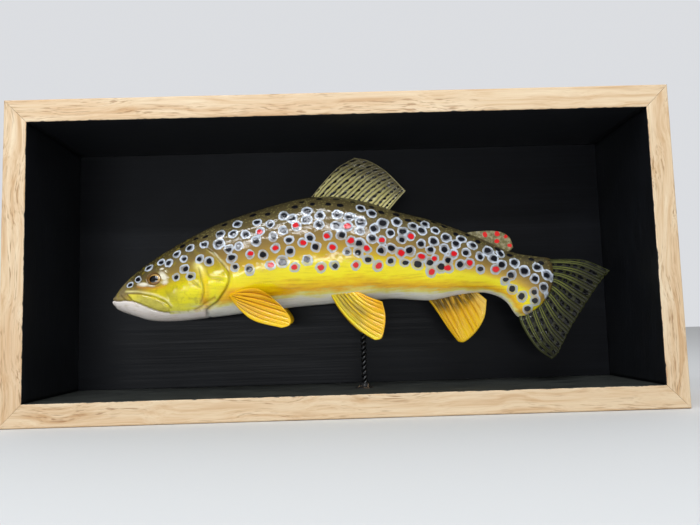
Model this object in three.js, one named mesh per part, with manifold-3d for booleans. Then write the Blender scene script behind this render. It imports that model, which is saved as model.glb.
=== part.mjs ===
// A small carved and painted trout on a twisted wire post, in an open-fronted shadow box.
// Millimetres, +Z up. The viewer stands on the -Y side, and the wall is the plane y = 0.
import * as THREE from "three";
import { mergeVertices } from "three/addons/utils/BufferGeometryUtils.js";
import Module from "manifold-3d";

const wasm = await Module();
wasm.setup();

// ---- driving dimensions ----
const gap = 0.3; // clearance left between neighbouring pieces

const box = {
  width: 190,
  height: 92,
  board: 6.6, // thickness of the four side boards
  clear: 39.1, // from the front edge to the face of the back panel
  panel: 6.4,
  mitre: 0.12, // hairline left open at each mitred corner
};
const boxDepth = box.clear + box.panel;
const insideWidth = box.width - 2 * box.board;
const insideHeight = box.height - 2 * box.board;

const hanger = {
  width: 40,
  height: 8,
  steel: 0.8,
  standoff: 1, // how far its middle stands off the pocket's floor
  teeth: 11,
  bite: 1.6, // depth of a tooth
  plainEnd: 7, // left without teeth at each end
  drop: 14, // from the top of the box to the middle of the strip
};
const pocket = { border: 2, depth: 2.7 };

const post = {
  x: 76.2, // aft of the snout
  top: 2.7, // above the snout, inside the belly
  strand: 0.95, // diameter of each of the two twisted wires
  pressed: 0.96, // how far apart their middles are, as a share of that diameter
  pitch: 3.1, // length of one full twist
  sunkFoot: 3,
  hole: 1.45, // radius of the hole it is glued into
  roundWire: 5, // facets round each wire
  perTwist: 6, // facets along one twist
};

const fishAt = new THREE.Vector3(-70.4, -(boxDepth - 20), -11); // where the tip of the snout is

// The body is lofted through upright slices. Each has a point on the back and one on the belly, both
// as x aft of the snout and z above it, half its width, how high its widest line lies as a share of
// the slice, and how far its middle bulges aft.
const slices = [
  { back: [0.9, 1.3], belly: [0.7, -1.5], half: 1.6, widest: 0.5, bulge: -0.4 }, // lips
  { back: [2.2, 3.4], belly: [1.9, -2.8], half: 2.9, widest: 0.48, bulge: 0 },
  { back: [5.3, 6.8], belly: [5.3, -4.5], half: 4.4, widest: 0.46, bulge: 0 }, // nostrils
  { back: [12.6, 12.3], belly: [12.3, -6.5], half: 6.1, widest: 0.44, bulge: 0 }, // eyes
  { back: [20.4, 17.1], belly: [20.2, -6.6], half: 7.5, widest: 0.43, bulge: 0 }, // cheeks
  { back: [30.2, 21.9], belly: [30.0, -5.8], half: 8.7, widest: 0.44, bulge: 0 }, // gill covers
  { back: [43.5, 26.4], belly: [43.0, -4.7], half: 9.3, widest: 0.45, bulge: 0 }, // shoulder
  { back: [61.5, 30.6], belly: [60.5, -3.2], half: 9.3, widest: 0.46, bulge: 0 }, // dorsal fin
  { back: [76.0, 29.2], belly: [75.0, -2.3], half: 8.7, widest: 0.47, bulge: 0 },
  { back: [88.3, 25.2], belly: [86.5, -1.9], half: 7.6, widest: 0.48, bulge: 0 }, // pelvic fins
  { back: [100.2, 21.7], belly: [97.0, -2.5], half: 6.4, widest: 0.5, bulge: 0 }, // vent
  { back: [112.0, 17.0], belly: [107.0, -1.1], half: 5.0, widest: 0.5, bulge: 0 }, // adipose fin
  { back: [122.5, 11.9], belly: [114.8, -0.8], half: 3.8, widest: 0.5, bulge: 0.4 }, // wrist
  { back: [129.6, 10.3], belly: [120.2, -3.2], half: 2.9, widest: 0.5, bulge: 1.4 },
  { back: [135.0, 9.2], belly: [123.9, -8.3], half: 1.9, widest: 0.5, bulge: 2.8 }, // tail base
  { back: [135.5, 7.7], belly: [125.4, -8.3], half: 1.1, widest: 0.5, bulge: 3.4 },
];
const loft = {
  perSlice: 2,
  around: 22,
  backRound: 1.9, // 2 is an ellipse, less is more pointed, more is squarer
  bellyRound: 2.25,
  noseReach: 0.3, // how far the tip stands ahead of the lips
  tailSwell: 0.85, // from this share of the length on, swelling the body also moves its end aft
};

// Lines on the side of the head, as [x, z] from the snout.
const mouthLine = [
  [-3, -0.1],
  [2, -0.35],
  [5.2, -0.6],
  [8.3, -1.6],
  [13.0, -3.7],
  [16.2, -4.7],
  [19.2, -5.1],
  [21.6, -9],
];
const gillEdge = [
  [25.9, 23],
  [26.2, 18.5],
  [28.3, 14.6],
  [31.4, 13.3],
  [34.0, 11.1],
  [36.0, 8.2],
  [36.6, 5.6],
  [36.0, 2.9],
  [34.4, 0.5],
  [31.8, -1.7],
  [29.6, -3.8],
  [28.8, -9],
];
const gillCover = {
  outline: [
    [27.4, 13.3],
    [30.9, 12.7],
    [33.5, 10.6],
    [35.4, 7.9],
    [35.9, 5.5],
    [35.3, 3.0],
    [33.8, 0.9],
    [31.2, -1.2],
    [29.4, -2.9],
    [28.3, -1.2],
    [29.0, 1.5],
    [28.8, 4.3],
    [28.2, 7.4],
    [27.2, 10.4],
  ],
  raised: 0.3,
  sunk: 1,
};
const maxilla = {
  outline: [
    [5.4, 0.1],
    [7.0, -0.6],
    [9.0, -1.5],
    [13.0, -3.2],
    [15.8, -4.1],
    [18.0, -4.3],
    [19.0, -3.4],
    [18.4, -1.9],
    [16.3, -0.3],
    [12.6, 0.8],
    [8.4, 1.4],
    [5.8, 1.2],
  ],
  raised: 0.35,
  sunk: 0.9,
};
const eye = { x: 14.4, z: 5.5, radius: 2.5, sunk: 1.88, around: 14, rings: 7 };

const stalkCut = { back: [115.6, 20], belly: [112.7, -10] }; // where the trunk ends
const behindGills = 0.45; // the gap left along the slanting gill edge, measured along x
const facets = { gillEdge: 24, mouth: 18, plate: 20, hole: 20 };
const outside = { fore: -10, aft: 160, up: 35, down: -14, side: 20 }; // clear of the body on every side

// Each fin spans four edges: its root, its leading ray, its free margin and its last ray. "out" is how
// far from the middle of the fish its root and its margin stand, on a paired fin, and "farShift" is
// how much further forward and up the right one was glued.
const fins = {
  dorsal_fin: {
    root: [[60.2, 29.2], [73, 28.4], [85.0, 25.2]],
    leading: [[60.2, 29.2], [64.0, 34.6], [69.2, 40.0], [75.0, 42.8]],
    margin: [[75.0, 42.8], [79.6, 41.7], [85.4, 37.8], [90.8, 31.7]],
    last: [[85.0, 25.2], [88.0, 28.8], [90.8, 31.7]],
    rays: 9, rootThick: 1.9, edgeThick: 0.9, colour: 0x77683a,
  },
  adipose_fin: {
    root: [[108.0, 17.4], [116, 14.2], [121.6, 11.4]],
    leading: [[108.0, 17.4], [110.2, 18.6], [115.6, 18.9]],
    margin: [[115.6, 18.9], [119.6, 18.5], [122.6, 16.4], [123.5, 13.0]],
    last: [[121.6, 11.4], [122.6, 12.2], [123.5, 13.0]],
    rays: 3, rootThick: 1.9, edgeThick: 1.0, colour: 0x7d6a3c,
  },
  caudal_fin: {
    root: [[134.0, 9.1], [134.6, 4.6], [132.8, 0.0], [129.6, -4.6], [123.8, -7.4]],
    leading: [[134.0, 9.1], [140.4, 9.1], [146.2, 8.4], [153.4, 5.1]],
    margin: [[153.4, 5.1], [149.4, 0.7], [144.6, -5.7], [139.9, -12.6], [135.8, -19.6], [133.6, -21.6]],
    last: [[123.8, -7.4], [125.2, -11.8], [129.0, -18.0], [133.6, -21.6]],
    rays: 13, rootThick: 1.7, edgeThick: 0.8, colour: 0x4c4725,
  },
  anal_fin: {
    root: [[95.4, -1.0], [104, -0.2], [110.8, 0.4]],
    leading: [[95.4, -1.0], [98.4, -5.1], [102.6, -11.6], [106.3, -16.0]],
    margin: [[106.3, -16.0], [110.6, -13.0], [113.4, -8.6], [114.5, -2.9]],
    last: [[110.8, 0.4], [112.8, -1.3], [114.5, -2.9]],
    rays: 7, rootThick: 1.9, edgeThick: 0.9, colour: 0xc79a24,
  },
  pectoral_fin: {
    root: [[37.4, -1.2], [37.2, 0.0], [37.6, 1.1]],
    leading: [[37.4, -1.2], [40.7, -4.8], [45.1, -7.7], [53.8, -9.8]],
    margin: [[53.8, -9.8], [55.7, -7.9], [53.0, -3.7], [48.4, 0.4]],
    last: [[37.6, 1.1], [41.4, 2.0], [45.2, 1.9], [48.4, 0.4]],
    rays: 7, rootThick: 1.9, edgeThick: 0.9, colour: 0xd9981c, out: [7.4, 14.2],
    farShift: [-1.4, 0.9],
  },
  pelvic_fin: {
    root: [[66.2, 1.2], [70, 0.9], [75.0, 0.4]],
    leading: [[66.2, 1.2], [69.4, -5.4], [74.4, -11.0], [80.4, -14.4]],
    margin: [[80.4, -14.4], [82.1, -11.4], [82.6, -7.2], [81.8, -2.9]],
    last: [[75.0, 0.4], [78.2, -1.3], [81.8, -2.9]],
    rays: 7, rootThick: 1.9, edgeThick: 0.9, colour: 0xd9981c, out: [4.4, 9.6],
  },
};
const finSteps = 5; // facets from the root of a fin to its margin
const webThick = 0.72; // thickness of the web between two rays, as a share of the ray's

// ---- helpers ----
const sameVertex = 1e-4;

function solidOf(geometry) {
  const open = geometry.index ? geometry.toNonIndexed() : geometry;
  const positions = new THREE.BufferGeometry();
  positions.setAttribute("position", open.getAttribute("position"));
  const merged = mergeVertices(positions, sameVertex);
  return new wasm.Manifold(
    new wasm.Mesh({
      numProp: 3,
      vertProperties: merged.attributes.position.array,
      triVerts: new Uint32Array(merged.index.array),
    }),
  );
}

function geometryOf(solid) {
  const mesh = solid.getMesh();
  const geometry = new THREE.BufferGeometry();
  geometry.setAttribute("position", new THREE.Float32BufferAttribute(mesh.vertProperties, 3));
  geometry.setIndex([...mesh.triVerts]);
  const flat = geometry.toNonIndexed();
  flat.computeVertexNormals();
  return flat;
}

function paint(colour, roughness, metalness = 0) {
  return new THREE.MeshStandardMaterial({ color: colour, roughness, metalness });
}

function named(name, geometry, material) {
  const mesh = new THREE.Mesh(geometry, material);
  mesh.name = name;
  return mesh;
}

// A closed outline in the side view, [x, z] points, made into a slab from y = from to y = to.
function slab(points, from, to) {
  const shape = new THREE.Shape(points.map(([x, z]) => new THREE.Vector2(x, z)));
  const geometry = new THREE.ExtrudeGeometry(shape, { depth: to - from, bevelEnabled: false });
  geometry.rotateX(Math.PI / 2);
  geometry.translate(0, to, 0);
  return geometry;
}

function block(x0, x1, y0, y1, z0, z1) {
  const geometry = new THREE.BoxGeometry(x1 - x0, y1 - y0, z1 - z0);
  geometry.translate((x0 + x1) / 2, (y0 + y1) / 2, (z0 + z1) / 2);
  return geometry;
}

function uprightHole(radius, x, y, z0, z1) {
  const geometry = new THREE.CylinderGeometry(radius, radius, z1 - z0, facets.hole);
  geometry.rotateX(Math.PI / 2);
  geometry.translate(x, y, (z0 + z1) / 2);
  return geometry;
}

function curveOf(points) {
  return new THREE.SplineCurve(points.map(([x, z]) => new THREE.Vector2(x, z)));
}

function smooth(points, steps) {
  return curveOf(points)
    .getPoints(steps)
    .map((p) => [p.x, p.y]);
}

// The same outline, moved out by a distance along its own normals. It runs clockwise.
function grown(points, distance) {
  return points.map(([x, z], i) => {
    const [px, pz] = points[(i + points.length - 1) % points.length];
    const [nx, nz] = points[(i + 1) % points.length];
    const along = new THREE.Vector2(nx - px, nz - pz).normalize();
    return [x - along.y * distance, z + along.x * distance];
  });
}

function clockwise(points) {
  const area = THREE.ShapeUtils.area(points.map(([x, z]) => new THREE.Vector2(x, z)));
  return area < 0 ? points : [...points].reverse();
}

// Triangles of a stack of rings, each closed on itself. The two ends close on a tip each, or, where
// there are none, straight across a ring that runs along one side of a blade and back on the other.
function closedRings(rings, tips = []) {
  const around = rings[0].length;
  const last = (rings.length - 1) * around;
  const positions = [...rings.flat(), ...tips].flatMap((p) => [p.x, p.y, p.z]);
  const index = [];
  for (let i = 0; i < around; i++) {
    const next = (i + 1) % around;
    for (let r = 0; r + 1 < rings.length; r++) {
      const a = r * around + i;
      const b = r * around + next;
      index.push(a, b, a + around, b, b + around, a + around);
    }
    if (tips.length) {
      index.push(last + around, next, i);
      index.push(last + around + 1, last + i, last + next);
    } else if (i + 1 < around / 2) {
      const across = around - 1 - i;
      index.push(next, i, across, next, across, across - 1);
      index.push(last + i, last + next, last + across);
      index.push(last + next, last + across - 1, last + across);
    }
  }
  const geometry = new THREE.BufferGeometry();
  geometry.setAttribute("position", new THREE.Float32BufferAttribute(positions, 3));
  geometry.setIndex(index);
  return geometry.toNonIndexed();
}

// ---- the body ----
function throughSlices(pick) {
  return new THREE.CatmullRomCurve3(slices.map((slice) => new THREE.Vector3(...pick(slice))));
}

const backCurve = throughSlices(({ back }) => [back[0], 0, back[1]]);
const bellyCurve = throughSlices(({ belly }) => [belly[0], 0, belly[1]]);
const girthCurve = throughSlices(({ half, widest, bulge }) => [half, widest, bulge]);

// One point of the skin: t runs from the snout to the tail, and angle goes round the slice.
function skinPoint(t, angle, swell) {
  const back = backCurve.getPoint(t);
  const belly = bellyCurve.getPoint(t);
  const girth = girthCurve.getPoint(t);
  const rise = back.clone().sub(belly);
  const height = rise.length();
  rise.normalize();
  const aft = new THREE.Vector3(rise.z, 0, -rise.x);
  const power = 2 / (Math.sin(angle) > 0 ? loft.backRound : loft.bellyRound);
  const side = Math.sign(Math.cos(angle)) * Math.abs(Math.cos(angle)) ** power;
  const up = Math.sign(Math.sin(angle)) * Math.abs(Math.sin(angle)) ** power;
  const share = girth.y + up * (up > 0 ? 1 - girth.y : girth.y);
  const point = belly.addScaledVector(rise, share * height + up * swell);
  const swellAft = swell * THREE.MathUtils.smoothstep(t, loft.tailSwell, 1);
  point.addScaledVector(aft, girth.z * 4 * share * (1 - share) + swellAft);
  point.y = side * (girth.x + swell);
  return point;
}

function body(swell) {
  const count = (slices.length - 1) * loft.perSlice;
  const rings = [];
  for (let r = 0; r <= count; r++) {
    const ring = [];
    for (let i = 0; i < loft.around; i++) {
      ring.push(skinPoint(r / count, (2 * Math.PI * i) / loft.around, swell));
    }
    rings.push(ring);
  }
  const tip = (t, reach) => {
    const middle = skinPoint(t, 0, 0);
    return new THREE.Vector3(middle.x + reach, 0, middle.z);
  };
  return solidOf(closedRings(rings, [tip(0, -loft.noseReach - swell), tip(1, swell)]));
}

const flesh = body(0);
const clearance = body(gap);

// How far the skin stands from the middle plane at a point of the side view.
function halfWidthAt(x, z) {
  const thin = 0.05;
  const probe = solidOf(block(x - thin, x + thin, -outside.side, 0, z - thin, z + thin));
  return -probe.intersect(flesh).boundingBox().min[1];
}

// The slabs that part the body: ahead of the gill edge, below the mouth, and aft of the trunk.
function aheadOfGills(shift) {
  const edge = smooth(gillEdge, facets.gillEdge).map(([x, z]) => [x + shift, z]);
  const corners = [[edge.at(-1)[0], outside.down], [outside.fore, outside.down], [outside.fore, outside.up]];
  return solidOf(slab([...edge, ...corners, [edge[0][0], outside.up]], -outside.side, outside.side));
}

function belowMouth(shift) {
  const line = smooth(mouthLine, facets.mouth).map(([x, z]) => [x, z + shift]);
  const corners = [[line.at(-1)[0], outside.down], [line[0][0], outside.down]];
  return solidOf(slab([...line, ...corners], -outside.side, outside.side));
}

function aftOfTrunk(shift) {
  const cutLine = [stalkCut.belly, stalkCut.back].map(([x, z]) => [x + shift, z]);
  const corners = [[outside.aft, stalkCut.back[1]], [outside.aft, stalkCut.belly[1]]];
  return solidOf(slab([...cutLine, ...corners], -outside.side, outside.side));
}

// A thin plate let into the side of the head: the piece itself, and the bed cut for it.
function plate(design, side) {
  const outline = clockwise(smooth([...design.outline, design.outline[0]], facets.plate).slice(0, -1));
  const [from, to] = side < 0 ? [-outside.side, -gap] : [gap, outside.side];
  const piece = solidOf(slab(outline, from, to))
    .intersect(body(design.raised))
    .subtract(body(-design.sunk));
  const bed = solidOf(slab(grown(outline, gap), from, to)).subtract(body(-design.sunk - gap));
  return { piece, bed };
}

function eyeball(side, extra) {
  const depth = halfWidthAt(eye.x, eye.z) - eye.sunk;
  const geometry = new THREE.SphereGeometry(eye.radius + extra, eye.around, eye.rings);
  geometry.rotateX(Math.PI / 2);
  geometry.translate(eye.x, side * depth, eye.z);
  return geometry;
}

const sides = { left: -1, right: 1 };
const olive = paint(0x8c7434, 0.35);
const gold = paint(0xd2b52c, 0.35);

const fish = new THREE.Group();
fish.position.copy(fishAt);

let head = flesh.intersect(aheadOfGills(0)).subtract(belowMouth(gap / 2));
for (const [side, sign] of Object.entries(sides)) {
  const cover = plate(gillCover, sign);
  const jawbone = plate(maxilla, sign);
  head = head.subtract(cover.bed).subtract(jawbone.bed).subtract(solidOf(eyeball(sign, gap)));
  fish.add(named(`gill_cover_${side}`, geometryOf(cover.piece), gold));
  fish.add(named(`maxilla_${side}`, geometryOf(jawbone.piece), gold));
  fish.add(named(`eye_${side}`, eyeball(sign, 0), paint(0x15120c, 0.1)));
}
fish.add(named("head", geometryOf(head), olive));

const lowerJaw = flesh.intersect(aheadOfGills(0)).intersect(belowMouth(-gap / 2));
fish.add(named("lower_jaw", geometryOf(lowerJaw), paint(0xe6e0d4, 0.35)));

const postHole = uprightHole(post.hole, post.x, 0, outside.down, post.top + gap);
const trunk = flesh
  .subtract(aheadOfGills(behindGills))
  .subtract(aftOfTrunk(0))
  .subtract(solidOf(postHole));
fish.add(named("trunk", geometryOf(trunk), olive));
fish.add(named("tail_stalk", geometryOf(flesh.intersect(aftOfTrunk(gap))), olive));

// ---- the fins ----
// A point between the four edges of a fin: u goes from the leading ray to the last, v from root to margin.
function finPoint(edges, u, v) {
  const root = edges.root.getPoint(u);
  const margin = edges.margin.getPoint(u);
  const leading = edges.leading.getPoint(v);
  const last = edges.last.getPoint(v);
  const rootEnds = edges.root.getPoint(0).lerp(edges.root.getPoint(1), u);
  const marginEnds = edges.margin.getPoint(0).lerp(edges.margin.getPoint(1), u);
  const across = root.lerp(margin, v);
  const along = leading.lerp(last, u);
  return across.add(along).sub(rootEnds.lerp(marginEnds, v));
}

function runsClockwise({ root, margin }) {
  const corners = [root[0], root.at(-1), margin.at(-1), margin[0]];
  return THREE.ShapeUtils.area(corners.map(([x, z]) => new THREE.Vector2(x, z))) < 0;
}

// A fluted blade: each ray is a ridge and the web between two rays is thinner.
function blade(design, sign) {
  const edges = {
    root: curveOf(design.root),
    margin: curveOf(design.margin),
    leading: curveOf(design.leading),
    last: curveOf(design.last),
  };
  const [outRoot, outMargin] = design.out ?? [0, 0];
  const [shiftX, shiftZ] = (sign > 0 && design.farShift) || [0, 0];
  const columns = 2 * design.rays;
  const rings = [];
  for (let s = 0; s <= finSteps; s++) {
    const v = s / finSteps;
    const out = sign * (outRoot + (outMargin - outRoot) * v);
    const near = [];
    const far = [];
    for (let c = 0; c <= columns; c++) {
      const u = c / columns;
      const flute = c % 2 ? 1 : webThick;
      const half = (flute * (design.rootThick + (design.edgeThick - design.rootThick) * v)) / 2;
      const { x, y } = finPoint(edges, u, v);
      near.push(new THREE.Vector3(x + shiftX, out - half, y + shiftZ));
      far.push(new THREE.Vector3(x + shiftX, out + half, y + shiftZ));
    }
    rings.push([...near, ...far.reverse()]);
  }
  if (runsClockwise(design)) rings.reverse();
  return solidOf(closedRings(rings));
}

for (const [name, design] of Object.entries(fins)) {
  for (const [side, sign] of Object.entries(design.out ? sides : { only: 1 })) {
    const fin = blade(design, sign).subtract(clearance);
    fish.add(named(design.out ? `${name}_${side}` : name, geometryOf(fin), paint(design.colour, 0.4)));
  }
}

// ---- the post ----
// Two round wires twisted together: a slice shaped like an 8 turns as it climbs.
function twistedPost(z0, z1) {
  const levels = Math.round(((z1 - z0) / post.pitch) * post.perTwist);
  const radius = post.strand / 2;
  const openArc = 1.7 * Math.PI; // how much of each wire shows past its neighbour
  const rings = [];
  for (let k = 0; k <= levels; k++) {
    const z = z0 + ((z1 - z0) * k) / levels;
    const turn = (2 * Math.PI * (z - z0)) / post.pitch;
    const ring = [];
    for (const wire of [0, Math.PI]) {
      for (let i = 0; i < post.roundWire; i++) {
        const angle = wire + ((i + 0.5) / post.roundWire - 0.5) * openArc;
        const x = radius * (post.pressed * Math.cos(wire) + Math.cos(angle));
        const y = radius * Math.sin(angle);
        const point = new THREE.Vector3(x, y, z);
        ring.push(point.applyAxisAngle(new THREE.Vector3(0, 0, 1), turn));
      }
    }
    rings.push(ring);
  }
  return closedRings(rings, [new THREE.Vector3(0, 0, z0), new THREE.Vector3(0, 0, z1)]);
}

// ---- the box ----
const blackPaint = paint(0x101113, 0.55);
const oak = paint(0xe3c39a, 0.6);
const steel = paint(0x8d8f90, 0.35, 0.9);

const halfW = box.width / 2;
const halfH = box.height / 2;
const cut = box.mitre / 2;
const innerW = halfW - box.board;
const innerH = halfH - box.board;

// A board with both ends cut at 45 degrees. It runs along x, or along z when turned.
function board(sign, along) {
  const [reach, reachIn, out] = along === "x" ? [halfW, innerW, halfH] : [halfH, innerH, halfW];
  const points = [
    [-reach + cut, sign * out],
    [reach - cut, sign * out],
    [reachIn - cut, sign * (out - box.board)],
    [-reachIn + cut, sign * (out - box.board)],
  ];
  return slab(along === "x" ? points : points.map(([a, b]) => [b, a]), -boxDepth, 0);
}

const shadowBox = new THREE.Group();
const postFoot = new THREE.Vector3(fishAt.x + post.x, fishAt.y, -innerH);
const footHole = uprightHole(post.hole, postFoot.x, postFoot.y, postFoot.z - post.sunkFoot, 0);
shadowBox.add(named("frame_top", board(1, "x"), oak));
shadowBox.add(named("frame_left", board(-1, "z"), oak));
shadowBox.add(named("frame_right", board(1, "z"), oak));
const bottomBoard = solidOf(board(-1, "x")).subtract(solidOf(footHole));
shadowBox.add(named("frame_bottom", geometryOf(bottomBoard), oak));

const hangerZ = halfH - hanger.drop;
const pocketHalf = [hanger.width / 2 + pocket.border, hanger.height / 2 + pocket.border];
const hangerPocket = block(
  -pocketHalf[0], pocketHalf[0], -pocket.depth, 1, hangerZ - pocketHalf[1], hangerZ + pocketHalf[1],
);
const panel = block(
  -insideWidth / 2 + gap / 2, insideWidth / 2 - gap / 2, -box.panel, 0,
  -insideHeight / 2 + gap / 2, insideHeight / 2 - gap / 2,
);
const panelSolid = solidOf(panel).subtract(solidOf(hangerPocket));
shadowBox.add(named("back_panel", geometryOf(panelSolid), blackPaint));

// A steel strip with teeth along its lower edge, its middle held clear of the pocket's floor.
function sawtoothHanger() {
  const half = hanger.width / 2;
  const toothed = half - hanger.plainEnd;
  const overlap = 0.1;
  const points = [[-half, hanger.height / 2], [half, hanger.height / 2], [half, -hanger.height / 2]];
  for (let i = 0; i <= 2 * hanger.teeth; i++) {
    const x = toothed - (toothed * i) / hanger.teeth;
    points.push([x, -hanger.height / 2 + (i % 2 ? hanger.bite : 0)]);
  }
  points.push([-half, -hanger.height / 2]);
  const floor = -pocket.depth + gap;
  const front = floor + hanger.standoff;
  const strip = solidOf(slab(points, front, front + hanger.steel));
  const foot = (x0, x1) => solidOf(block(
    x0, x1, floor, front + overlap, -hanger.height / 2, hanger.height / 2,
  ));
  return strip.add(foot(-half, -half + hanger.steel)).add(foot(half - hanger.steel, half));
}
const hangerMesh = named("sawtooth_hanger", geometryOf(sawtoothHanger()), steel);
hangerMesh.position.z = hangerZ;
shadowBox.add(hangerMesh);

const postMesh = named(
  "wire_post",
  twistedPost(-innerH - post.sunkFoot + gap, fishAt.z + post.top),
  paint(0x0d0d0e, 0.5, 0.2),
);
postMesh.position.set(postFoot.x, postFoot.y, 0);

const model = new THREE.Group();
model.add(shadowBox, postMesh, fish);

export default model;
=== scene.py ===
import bmesh
import bpy
import math
import numpy as np
from functools import partial
from mathutils import Matrix, Vector, noise


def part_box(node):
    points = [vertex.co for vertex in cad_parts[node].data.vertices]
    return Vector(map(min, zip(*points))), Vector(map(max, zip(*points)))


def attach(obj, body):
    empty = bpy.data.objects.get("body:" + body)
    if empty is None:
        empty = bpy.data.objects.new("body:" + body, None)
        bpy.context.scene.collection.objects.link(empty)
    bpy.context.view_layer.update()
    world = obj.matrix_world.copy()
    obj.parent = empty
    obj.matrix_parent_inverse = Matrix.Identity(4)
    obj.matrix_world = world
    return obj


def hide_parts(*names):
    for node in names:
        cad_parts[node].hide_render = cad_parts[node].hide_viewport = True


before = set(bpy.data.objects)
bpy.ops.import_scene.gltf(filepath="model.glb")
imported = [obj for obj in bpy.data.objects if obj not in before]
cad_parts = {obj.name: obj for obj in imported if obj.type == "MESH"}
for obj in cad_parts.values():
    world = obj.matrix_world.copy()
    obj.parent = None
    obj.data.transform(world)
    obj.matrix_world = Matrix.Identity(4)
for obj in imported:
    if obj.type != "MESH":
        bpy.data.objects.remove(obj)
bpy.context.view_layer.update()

mm = 0.001  # everything below is in millimetres until a mesh is made


def toLinear(code):
    # sRGB hex to the linear colour a shader wants
    channels = [int(code[i:i + 2], 16) / 255 for i in (0, 2, 4)]
    return (*(c / 12.92 if c <= 0.04045 else ((c + 0.055) / 1.055) ** 2.4 for c in channels), 1.0)


firstMenu = {"Math": "operation", "VectorMath": "operation", "MixRGB": "blend_type",
             "MapRange": "interpolation_type", "TexNoise": "noise_dimensions",
             "TexWhiteNoise": "noise_dimensions", "Attribute": "attribute_name", "ValToRGB": "stops"}


def addNode(tree, kind, option=None, *feeds):
    # option: a word for the node's first menu, or a dictionary of settings.
    # feeds: what its inputs take, in order, or a dictionary of named ones: values, hex colours, nodes or sockets.
    node = tree.nodes.new("ShaderNode" + kind)
    if option is not None and not isinstance(option, dict):
        option = {firstMenu[kind]: option}
    for name, value in (option or {}).items():
        if name != "stops":
            setattr(node, name, value)
            continue
        while len(node.color_ramp.elements) < len(value):
            node.color_ramp.elements.new(0.5)
        for element, (place, code) in zip(node.color_ramp.elements, value):
            element.position = place
            element.color = toLinear(code)
    given = {}
    for socket, value in zip([socket for socket in node.inputs if socket.enabled], feeds):
        given.update(value if isinstance(value, dict) else {socket: value})
    joinUp(node, given)
    return node


def joinUp(node, given):
    for socket, value in given.items():
        target = node.inputs[socket] if isinstance(socket, str) else socket
        if isinstance(value, bpy.types.Node):
            value = value.outputs.get("Fac") or value.outputs[0]
        if isinstance(value, bpy.types.NodeSocket):
            node.id_data.links.new(value, target)
        elif value is not None:
            target.default_value = toLinear(value) if isinstance(value, str) else value


def newMaterial(name, patterns, **surface):
    # The shader's fixed numbers are set on its own sockets. Each pattern: its size in mm, or three sizes
    # along x, y and z, then its detail and roughness.
    material = bpy.data.materials.new(name)
    material.use_nodes = True
    shader = material.node_tree.nodes["Principled BSDF"]
    joinUp(shader, {socket.replace("_", " "): value for socket, value in surface.items()})
    add = partial(addNode, material.node_tree)
    place = add("TexCoord").outputs["Object"]
    laid = {}
    for word, (size, detail, rough) in patterns.items():
        spot = add("VectorMath", "MULTIPLY", place, tuple(1 / (np.broadcast_to(size, 3) * mm)))
        laid[word] = add("TexNoise", None, {"Vector": spot, "Scale": 1.0, "Detail": detail, "Roughness": rough})
    return material, shader, add, place, laid


def softMask(add, *spans):
    # A product of soft edges, each a field with where it starts and is full. Bare fields and numbers just multiply.
    mask = None
    for span in spans:
        edge = add("MapRange", "SMOOTHSTEP", *span) if isinstance(span, tuple) else span
        mask = edge if mask is None else add("Math", "MULTIPLY", mask, edge)
    return mask


def layCoats(add, tone, coats):
    # paint over a tone; each coat is its colour and then what softMask takes
    for colour, *spans in coats:
        tone = add("MixRGB", "MIX", softMask(add, *spans), tone, colour)
    return tone


def addUp(add, total, *parts):
    # a starting value, and fields by their weights
    for field, weight in parts:
        total = add("Math", "MULTIPLY_ADD", field, weight, total)
    return total


def ease(values, low, high):
    share = np.clip((values - low) / (high - low), 0, 1)
    return share * share * (3 - 2 * share)


def hump(distance, width):
    return np.exp(-(distance / width) ** 2)


def unevenness(points, size, seed):
    # smooth noise between about -1 and 1 whose lumps are `size` mm across
    shift = Vector((seed * 17.3, seed * 5.1, seed * 9.7))
    return np.array([noise.noise(Vector(p) / size + shift) for p in points]) * 1.6


def rounded(points, closed=False, steps=8):
    # a smooth line through a few points
    p = np.array(points, float)
    ring = np.vstack([p[-1:], p, p[:2]]) if closed else np.vstack([2 * p[:1] - p[1:2], p, 2 * p[-1:] - p[-2:-1]])
    w = np.linspace(0, 1, steps, endpoint=False)[:, None]
    runs = [b + (c - a) / 2 * w + (a - 2.5 * b + 2 * c - d / 2) * w ** 2
            + (1.5 * b - a / 2 - 1.5 * c + d / 2) * w ** 3
            for a, b, c, d in zip(ring, ring[1:], ring[2:], ring[3:])]
    return np.vstack(runs + [ring[1:2] if closed else p[-1:]])


def toLine(x, z, points, closed=False):
    # seen from the side: distance to a smooth line, share of the way along it,
    # and the signed distance (positive to the right of the way the line runs)
    line = rounded(points, closed)
    best = np.full(x.shape, 1e9)
    along, side = np.zeros(x.shape), np.zeros(x.shape)
    count = len(line) - 1
    for i in range(count):
        a, d = line[i], line[i + 1] - line[i]
        share = np.clip(((x - a[0]) * d[0] + (z - a[1]) * d[1]) / max(d @ d, 1e-9), 0, 1)
        gapX, gapZ = x - a[0] - share * d[0], z - a[1] - share * d[1]
        distance = np.hypot(gapX, gapZ)
        closer = distance < best
        best = np.where(closer, distance, best)
        along = np.where(closer, (i + share) / count, along)
        side = np.where(closer, np.sign(d[1] * gapX - d[0] * gapZ), side)
    return best, along, best * side


def inside(x, z, points):
    # signed distance to a closed smooth outline, positive inside
    line = rounded(points, True)
    crossings = np.zeros(x.shape, int)
    for (x0, z0), (x1, z1) in zip(line, line[1:]):
        spans = (z0 > z) != (z1 > z)
        crossings += spans & (x < (x1 - x0) * (z - z0) / (z1 - z0 or 1e-9) + x0)
    distance = toLine(x, z, points, True)[0]
    return np.where(crossings % 2, distance, -distance)


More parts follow.
